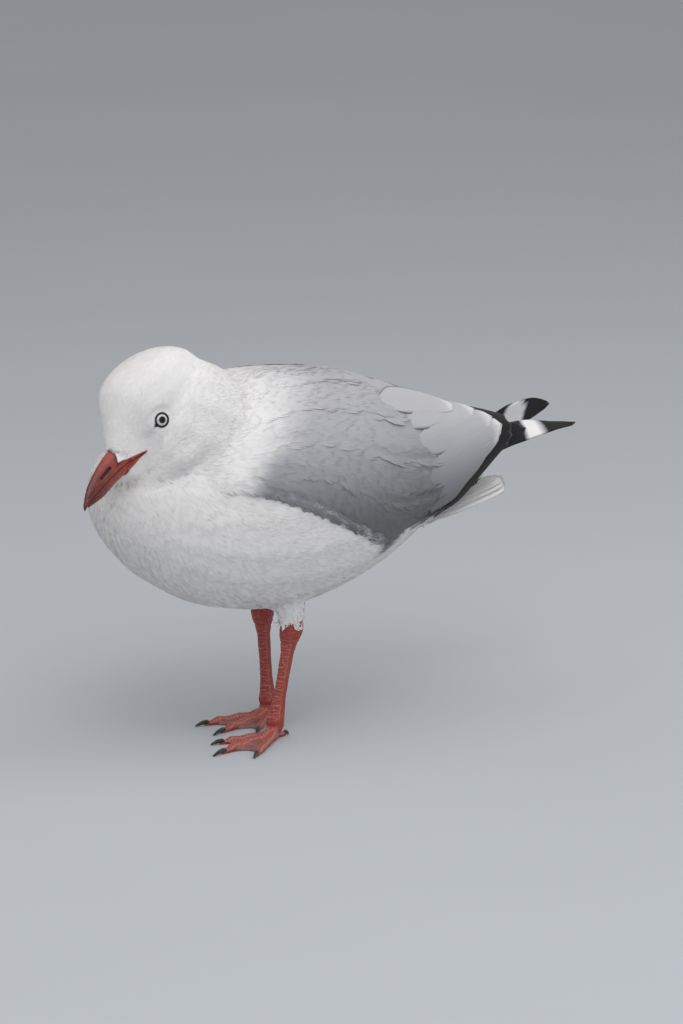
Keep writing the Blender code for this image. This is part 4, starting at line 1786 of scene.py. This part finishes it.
    def store(self, name: str, roots: Array, *grown: Array) -> None:
        """Make pieces from feathers, front to back, each under the triangle limit.

        Args:
            name: Name of the tract.
            roots: Root places.
            grown: What Tract.grow gives for them.
        """
        points, faces, marks, layout = grown
        count, strips, size = points.shape[:3]
        per_feather = strips * len(faces)
        parts = math.ceil(count * per_feather / PIECE_TRIANGLES)
        flat = self.unwrap.at(roots.tolist())
        for index, chosen in enumerate(np.array_split(np.argsort(roots[:, 1]), parts)):
            locks = len(chosen) * strips
            vertices = points[chosen].reshape(-1, 3)
            triangles = (faces[None] + np.arange(locks)[:, None, None] * size).reshape(-1, 3)
            title = f"coat_{name}_{index + 1}" if parts > 1 else f"coat_{name}"
            item = mesh_object(title, vertices, triangles)
            spots = (flat[chosen][:, None, None] + layout[chosen]).reshape(-1, 2)
            set_layout(item.data, spots, triangles)
            shift = np.random.default_rng(index).random((len(chosen), 1, 1)) * 90
            across, along = np.moveaxis(layout[chosen] * 4 / MM, -1, 0)
            grain = np.stack([across + shift, along + shift, 0 * across + shift], -1)
            dress(item, self.material, marks[chosen].reshape(-1, 3), grain.reshape(-1, 3))
            item.data.set_sharp_from_angle(angle=math.radians(50))
            self.pieces.append(item)
            log.info("%s: %d feathers, %d triangles", title, len(chosen), len(triangles))


# ---------------------------------------------------------------- large feathers
@dataclass
class BladeSet:
    """Closed feather blades gathered into one piece."""

    name: str  # name of the piece
    thickness: float = 0.45 * MM  # thickness of a vane at its shaft
    softness: float = 0.6  # how far its shading follows the body's own, from 0 to 1
    # Arrays of the blades so far, one of each kind to a blade, and the count of their vertices
    points: list = field(default_factory=list)
    faces: list = field(default_factory=list)
    marks: list = field(default_factory=list)
    soft: list = field(default_factory=list)
    flats: list = field(default_factory=list)
    used: int = 0

    def add(self, top: Array, normals: Array, marks: Array) -> None:
        """Add one blade from the grid of its upper side.

        Args:
            top: Rows from root to tip of columns from edge to edge, in metres.
            normals: Outward direction at each place.
            marks: Three columns at each place.
        """
        rows, columns = top.shape[:2]
        lane = np.linspace(-1, 1, columns)
        depth = self.thickness * (1.0 - 0.8 * np.abs(lane) ** 2)
        under = top - normals * depth[None, :, None]
        grid = np.arange(rows * columns).reshape(rows, columns)
        a, b = grid[:-1, :-1].ravel(), grid[:-1, 1:].ravel()
        c, d = grid[1:, 1:].ravel(), grid[1:, :-1].ravel()
        upper = np.concatenate([np.stack([a, b, c], 1), np.stack([a, c, d], 1)])
        low = rows * columns
        lower = upper[:, ::-1] + low
        rim = np.concatenate([grid[0, ::-1], grid[1:, 0], grid[-1, 1:], grid[-2:0:-1, -1]])
        rim_next = np.roll(rim, -1)
        pairs = ((rim_next, rim_next + low), (rim_next + low, rim + low))
        walls = [np.stack([rim, *pair], 1) for pair in pairs]
        self.points.append(np.concatenate([top.reshape(-1, 3), under.reshape(-1, 3)]))
        self.faces.append(np.concatenate([upper, lower, *walls]) + self.used)
        self.marks.append(np.tile(marks.reshape(-1, 3), (2, 1)))
        self.soft.append(np.tile(normals.reshape(-1, 3), (2, 1)))
        across, along = np.meshgrid(np.linspace(0.04, 0.46, columns), np.linspace(0.02, 0.98, rows))
        flat = np.stack([across, along], -1).reshape(-1, 2)
        self.flats.append(np.concatenate([flat, flat + (0.5, 0)]))
        self.used += 2 * low

    def build(self, material: Material) -> Object:
        """Make the piece, with every blade in its own cell of the layout.

        Args:
            material: Plumage finish.

        Returns:
            The object.
        """
        triangles = np.concatenate(self.faces)
        points = np.concatenate(self.points)
        item = mesh_object(self.name, points, triangles)
        side = math.ceil(math.sqrt(len(self.flats)))
        cells = [(flat + (i % side, i // side)) / side for i, flat in enumerate(self.flats)]
        set_layout(item.data, np.concatenate(cells), triangles)
        order = np.repeat(np.arange(len(self.flats)), [len(flat) for flat in self.flats])
        grain = np.concatenate(self.flats) * (28, 22) + order[:, None] * 7.3
        fine = np.column_stack([grain, order * 3.1])
        dress(item, material, np.concatenate(self.marks), fine)
        soften(item.data, points, triangles, np.concatenate(self.soft), self.softness)
        return item


def outline(share: Array, root: float, tip: float) -> Array:
    """Half width of a feather along it, as a share of its widest.

    Args:
        share: Places from 0 at the root to 1 at the tip.
        root: Share of the length over which it widens.
        tip: Share of the length over which its tip is rounded off.

    Returns:
        Values from 0 to 1.
    """
    grow = 0.3 + 0.7 * ease(share, 0, root)
    past = np.clip((share - (1 - tip)) / tip, 0, 1)
    return grow * np.sqrt(np.clip(1 - past**2.2, 0.0004, 1))


# What a folded wing lies on and its cover: y, top, bottom, half width, lift (mm)
WING_MM = (
    (-62, 175, 73, 54, 0.6),
    (-54, 180, 72, 57, 2.5),
    (-36, 187, 68, 60, 4),
    (-10, 192, 66, 60, 4.5),
    (20, 191, 67, 57, 4.5),
    (45, 188, 74, 51, 4.5),
    (68, 180, 85, 42, 4),
    (90, 171, 95, 36, 3.5),
    (112, 162, 108, 28, 3),
    (132, 157, 122, 20, 2),
    (145, 154, 131, 15.5, 1.2),
    (156, 151, 137, 12, 0.4),
)
# Folded primaries: x, y, z of the middle, half width (mm), slope of the vane (degrees)
PRIMARIES_MM = {
    Side.LEFT: (
        (21, 97, 119, 3, 80),
        (19, 107, 125, 6, 80),
        (16, 123, 132, 7, 80),
        (9.5, 145, 140, 6.5, 78),
        (8, 165, 143, 6, 50),
        (6.5, 183, 143, 4.5, 28),
        (4, 201, 142, 1.5, 20),
    ),
    Side.RIGHT: (
        (-21, 97, 119, 3, 80),
        (-19, 107, 125, 6, 80),
        (-16, 123, 132, 7, 80),
        (-8, 145, 140, 6.5, 80),
        (-12, 166, 145, 9, 72),
        (-14.5, 183, 148, 9, 66),
        (-15, 198, 150, 5, 66),
    ),
}


@dataclass
class WingFeathers:
    """Tertials and primaries of one folded wing."""

    side: Side  # which side of the bird
    material: Material  # plumage finish
    pieces: list = field(default_factory=list)  # what is built

    def __post_init__(self) -> None:
        """Work out the wing's cover as a table and seed the chance."""
        self.table = spline(WING_MM, 4)
        self.rng = np.random.default_rng(7 + self.side.value)

    def cover(self, y: Array, angle: Array, layer: Array) -> tuple[Array, ...]:
        """Places on the wing's cover.

        Args:
            y: Places along the bird, in stance millimetres.
            angle: Angles up from the bird's side, in radians.
            layer: Heights over the cover, in millimetres.

        Returns:
            Places in metres, outward directions, and arc length in millimetres for a radian.
        """
        ends = self.table[:, 0]
        top, bottom, half_width, lift = (np.interp(y, ends, column) for column in self.table.T[1:])
        half_height = (top - bottom) / 2
        foot = np.stack([np.cos(angle) * half_width, y, (top + bottom) / 2 + np.sin(angle) * half_height], -1)
        out = unit(np.stack([np.cos(angle) / half_width, 0 * y, np.sin(angle) / half_height], -1))
        place = foot + out * (lift * 0.92 + layer)[..., None]
        place[..., 0] = np.maximum(place[..., 0], 0.5) * self.side.value
        out[..., 0] *= self.side.value
        scale = np.hypot(half_width * np.sin(angle), half_height * np.cos(angle))
        return world(place), out, scale

    def plume(
        self, blades: BladeSet, root: tuple, tip: tuple, half: float, layer: float, tone: float, shape: tuple
    ) -> None:
        """Lay one broad feather on the wing's cover.

        Args:
            blades: Piece it joins.
            root: Place y and angle in degrees of its root.
            tip: The same of its tip.
            half: Half width in millimetres.
            layer: Height of its tip over the cover, in millimetres.
            tone: Marking value; the code adds darkening low on the wing, partly painted shade.
            shape: Rows and columns of its grid.
        """
        rows, columns = shape
        share = np.linspace(0, 1, rows)
        lane = np.linspace(-1, 1, columns)
        y = root[0] + (tip[0] - root[0]) * share
        angle = np.radians(root[1] + (tip[1] - root[1]) * ease(share, -0.2, 1.1))
        _, _, scale = self.cover(y, angle, 0 * y)
        step = unit(np.stack([np.gradient(y), np.gradient(angle) * scale], -1))
        wide = half * outline(share, 0.35, 0.42)
        wide = wide[:, None] * lane * (1 + self.rng.normal(0, 0.005, (rows, columns)))
        grid_y = y[:, None] - wide * step[:, 1:2]
        grid_angle = angle[:, None] + wide * step[:, 0:1] / scale[:, None]
        shaft = bell(lane, 0, 0.1) * 0.18
        height = layer * share[:, None] ** 1.2 + 0.25 * (1 - lane**2) + 0.5 * shaft - 0.4
        height = height - 0.6 * ease(y, 115, 90)[:, None] - 2.6 * ease(share, 0.3, 0.02)[:, None]
        height = height - 0.15 * (np.abs(lane) ** 3) * share[:, None]
        place, out, _ = self.cover(grid_y, grid_angle, height)
        chance = 0.5 + self.rng.normal(0, 0.16) + self.rng.normal(0, 0.07, (rows, columns))
        chance = np.clip(chance, 0, 1) - 0.25 * bell(lane, 0, 0.12)
        edge = np.maximum(share[:, None], np.abs(lane) ** 5 * ease(share, 0.35, 0.75)[:, None])
        pale = ease(edge, 0.86, 0.99) * (tone < 1.5)
        # Darker towards the bottom of the wing, as the coat is: partly the wing's own darker grey, partly
        # painted shade.
        tone = tone + 0.74 * ease(stance_mm(place)[..., 2], 165, 110) * (tone < 1.5)
        marks = np.stack([tone * (1 - 0.7 * pale), chance, edge], -1)
        if self.side is Side.RIGHT:
            place, out, marks = place[:, ::-1], out[:, ::-1], marks[:, ::-1]
        blades.add(place[:, ::-1], out[:, ::-1], marks[:, ::-1])

    def build(self) -> list[Object]:
        """Build the wing's broad feathers.

        Returns:
            The pieces.
        """
        folded = BladeSet(f"folded_primaries_{self.side}", 0.3 * MM)
        for root, tip, half, layer in (
            ((104, -72), (150, -34), 8.0, 0.0),
            ((92, -50), (151, -4), 8.0, 0.1),
            ((116, 18), (152, 30), 7.0, -0.1),
            ((116, 50), (152, 66), 7.0, -0.2),
        ):
            self.plume(folded, root, tip, half, layer, Tone.BLACK.value, (20, 9))
        tertials = BladeSet(f"tertials_{self.side}", 0.22 * MM)
        short = 0 if self.side is Side.LEFT else 13
        for root, tip_y, tip_angle, half, layer in (
            ((82, -34), 130, 12, 8.0, 0.4),
            ((72, -20), 140, 20, 8.5, 0.6),
            ((66, -8), 143, 31, 9.0, 0.8),
            ((60, 14), 138, 50, 9.0, 1.0),
            ((52, 32), 128, 66, 9.0, 1.2),
            ((44, 46), 112, 66, 9.0, 1.3),
        ):
            self.plume(tertials, root, (tip_y - short, tip_angle), half, layer, 0.84, (24, 11))
        self.pieces = [folded.build(self.material), tertials.build(self.material), self.primaries()]
        return self.pieces

    def primaries(self) -> Object:
        """Build the folded primaries, black with white mirrors near the tips.

        Returns:
            The piece.
        """
        blades = BladeSet(f"flight_feathers_{self.side}", 0.7 * MM)
        rows = spline(PRIMARIES_MM[self.side], 6)
        ends = (1.0, 0.66, 0.57, 0.48) if self.side is Side.LEFT else (1.0, 0.8, 0.6, 0.5)
        grid = (34, 11)
        for order, end in enumerate(ends):
            share = np.linspace(0, 1, grid[0])
            path = sampled(rows, share * end * (len(rows) - 1))
            slope = np.radians(path[:, 4])
            side = self.side.value
            across = np.stack([-side * np.cos(slope), 0 * slope, np.sin(slope)], -1)
            rise = np.stack([side * np.sin(slope), 0 * slope, np.cos(slope)], -1)
            lane = np.linspace(-1, 1, grid[1])
            tip = outline(share, 0.05, 0.22 if order else 0.3)
            half = path[:, 3] if order else np.maximum(path[:, 3], 4.2 * (path[:, 1] > 150))
            wide = (half * tip)[:, None] * lane * (1 + self.rng.normal(0, 0.008, grid))
            bow = 0.7 * (1 - lane**2) + 0.25 * bell(lane, 0, 0.1) + order * 0.45
            middle = path[:, None, :3] + across[:, None] * (wide + 0.5 * order)[..., None]
            place = middle + rise[:, None] * bow[None, :, None]
            y = place[..., 1]
            tone = self.primary_tone(order, y, lane[None] * np.ones_like(y))
            chance = 0.5 + self.rng.normal(0, 0.05, grid) + 0.35 * bell(lane, 0, 0.1)
            marks = np.stack([tone, np.clip(chance, 0, 1), np.zeros_like(tone)], -1)
            outward = np.repeat(rise[:, None], grid[1], 1)
            if self.side is Side.LEFT:
                place, outward, marks = place[:, ::-1], outward[:, ::-1], marks[:, ::-1]
            blades.add(world(place), outward, marks)
        return blades.build(self.material)

    def primary_tone(self, order: int, y: Array, lane: Array) -> Array:
        """Marking of a primary: black, its longest feather with a white mirror.

        Args:
            order: 0 for the longest feather.
            y: Places along the bird, in stance millimetres.
            lane: Places across the vane, from -1 to 1.

        Returns:
            Tone values.
        """
        black = np.full_like(y, Tone.BLACK.value)
        if order:
            return black
        if self.side is Side.LEFT:
            mirror = ease(y, 163, 165) * ease(y, 176, 174)
        else:
            away = np.hypot((y - 171) / 9.5, (lane + 0.1) / 1.25)
            mirror = ease(away, 1.05, 0.93)
        return black * (1 - mirror)


@dataclass
class Tail:
    """The closed white tail and the long coverts beneath it."""

    material: Material  # plumage finish

    def build(self) -> list[Object]:
        """Build the tail feathers and their coverts.

        Returns:
            The pieces.
        """
        rng = np.random.default_rng(31)
        tail = BladeSet("tail_feathers", 0.18 * MM)
        for place in (-3, 3, -2, 2, -1, 1):
            sag = 0.34 * place * place
            root = (place * 2.4, 80, 104 - sag)
            tip = (place * 1.9, 153 - abs(place) * 0.3, 118.4 - sag)
            self.feather(tail, rng, root, tip, 6.8, -0.08 * abs(place), roll=place * 7)
        coverts = BladeSet("undertail_coverts", 0.35 * MM)
        for row, (y, length) in enumerate(((98, 36), (90, 34), (82, 32), (74, 30))):
            for index in range(7 - row % 2):
                x = (index - 3 + (row % 2) * 0.5) * 2.6
                height = 102.4 + (y - 80) * 0.197 - row * 1.2 - 0.03 * x * x
                tip = (x * 0.8, y + length, height + length * 0.2)
                self.feather(coverts, rng, (x, y, height), tip, 4.6, 0, flip=True)
        return [tail.build(self.material), coverts.build(self.material)]

    def feather(
        self, blades: BladeSet, rng: np.random.Generator, root: tuple, tip: tuple, half: float,
        lift: float, flip: bool = False, roll: float = 0,
    ) -> None:
        """Add one straight feather.

        Args:
            blades: Piece it joins.
            rng: Seeded random numbers.
            root: Root in stance millimetres.
            tip: Tip in stance millimetres.
            half: Half width in millimetres.
            lift: How far it lies over the first, in millimetres.
            flip: Whether its outer side faces down.
            roll: Turn of its upper side towards the bird's left, in degrees.
        """
        grid = (16, 9)
        share = np.linspace(0, 1, grid[0])
        lane = np.linspace(-1, 1, grid[1])
        path = np.array(root) + (np.array(tip) - root) * share[:, None]
        path[:, 2] -= 1.6 * np.sin(math.pi * share)
        along = unit(np.array(tip) - np.array(root))
        across = unit(np.cross(along, (0, 0, 1)))
        rise = np.cross(across, along)
        tilt = math.radians(roll)
        side_x = math.copysign(1, across[0])
        across, rise = (
            across * math.cos(tilt) - rise * math.sin(tilt) * side_x,
            rise * math.cos(tilt) + across * math.sin(tilt) * side_x,
        )
        wide = half * outline(share, 0.4, 0.1)
        wide = wide[:, None] * lane * (1 + rng.normal(0, 0.004, grid))
        bow = 0.25 * (1 - lane**2) + 0.08 * bell(lane, 0, 0.1)
        sign = -1 if flip else 1
        place = path[:, None] + across * wide[..., None] + rise * (sign * bow + lift)[None, :, None]
        chance = np.clip(0.5 + rng.normal(0, 0.08, grid), 0, 1)
        marks = np.stack([np.zeros(grid), chance, share[:, None] * np.ones(grid) * 0.8], -1)
        outward = np.broadcast_to(rise * sign, place.shape)
        if not flip:
            place, marks = place[:, ::-1], marks[:, ::-1]
        blades.add(world(place), outward, marks)


# ---------------------------------------------------------------- studio
@dataclass
class Studio:
    """Pale floor, soft light and the camera."""

    eye_mm: tuple = (1926.7, -1300.2, 610.2)  # camera place
    target_mm: tuple = (3.6, 46.3, 111.2)  # what it looks at
    lens_mm: float = 160.3  # focal length on a 36 mm frame

    def build(self) -> None:
        """Make the floor, the lights, the world and the camera."""
        bpy.ops.object.select_all(action="DESELECT")
        bpy.ops.mesh.primitive_plane_add(size=16)
        floor = bpy.context.object
        floor.name = "floor"
        floor.data.materials.append(FloorFinish().material("studio_paper"))
        self.light("sky_softbox", (0.15, -0.25, 1.7), 1.6, 6.0, (1.0, 0.995, 0.985))
        self.light("near_softbox", (1.25, -0.6, 1.5), 1.2, 12.0, (0.98, 0.99, 1.0))
        self.light("back_softbox", (0.5, 1.15, 1.35), 1.4, 5.0, (0.98, 0.99, 1.0))
        world_light = bpy.data.worlds.new("studio_air")
        world_light.use_nodes = True
        air = world_light.node_tree.nodes["Background"]
        air.inputs["Color"].default_value = srgb("#cdcdce")
        air.inputs["Strength"].default_value = 0.8
        bpy.context.scene.world = world_light
        camera = bpy.data.cameras.new("camera")
        camera.lens = self.lens_mm
        camera.sensor_width = 36
        camera.clip_end = 50
        holder = new_object("camera", camera)
        eye, target = Vector(world(self.eye_mm)), Vector(world(self.target_mm))
        holder.location = eye
        holder.rotation_euler = (target - eye).to_track_quat("-Z", "Y").to_euler()
        bpy.context.scene.camera = holder
        bpy.context.scene.view_settings.view_transform = "Standard"

    def light(self, name: str, place: tuple, size: float, power: float, colour: tuple) -> None:
        """Add a soft square light that faces the bird.

        Args:
            name: Name of the light.
            place: Where it hangs, in metres.
            size: Length of its side.
            power: Watts.
            colour: Red, green and blue.
        """
        data = bpy.data.lights.new(name, "AREA")
        data.shape = "SQUARE"
        data.size = size
        data.energy = power
        data.color = colour
        item = new_object(name, data)
        item.location = place
        item.rotation_euler = (Vector((0, 0, 0.12)) - Vector(place)).to_track_quat("-Z", "Y").to_euler()


def hand_in(piece: Object) -> None:
    """Hand a finished piece to the frame and report it.

    Args:
        piece: The piece.
    """
    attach(piece, "root")
    piece.data.calc_loop_triangles()
    log.info("%s: %d triangles", piece.name, len(piece.data.loop_triangles))


def main() -> None:
    """Build the gull's looks in order and report each piece."""
    logging.basicConfig(level=logging.INFO, format="%(name)s: %(message)s")
    plumage = PlumageFinish().material("gull_plumage")
    skin = Skin(plumage, ScaleFinish().material("leg_scutes"))
    item = skin.build()
    limbs = [f"{part}_{side}" for part in ("tarsus", "foot") for side in Side]
    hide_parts(*FLESH, *limbs)
    hand_in(item)
    horn = Bill(HornFinish().material("bill_horn"), item)
    jaws = horn.build()
    eye_finish = EyeFinish().material("wet_eye")
    talon_finish = TalonFinish().material("claw_horn")
    for side in Side:
        hand_in(Eye(side, eye_finish).build())
        hand_in(Talons(side, talon_finish).build())
    for jaw in jaws:
        hand_in(jaw)
    lie = Lie(item, skin.label)
    skin.looks[skin.label != Part.LEG, 0] = lie.tone
    set_marks(item.data, skin.looks)
    coat = Coat(lie, Unwrap(item), plumage)
    coat.grow()
    coat.grow_lores(jaws[0])
    skin.thin()
    for piece in coat.pieces:
        hand_in(piece)
    for side in Side:
        wing = WingFeathers(side, plumage)
        for piece in wing.build():
            hand_in(piece)
        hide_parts(f"primaries_{side}")
    tail, undertail = Tail(plumage).build()
    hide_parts("tail")
    for piece in (tail, undertail):
        hand_in(piece)
    Studio().build()


if __name__ == "__main__":
    main()
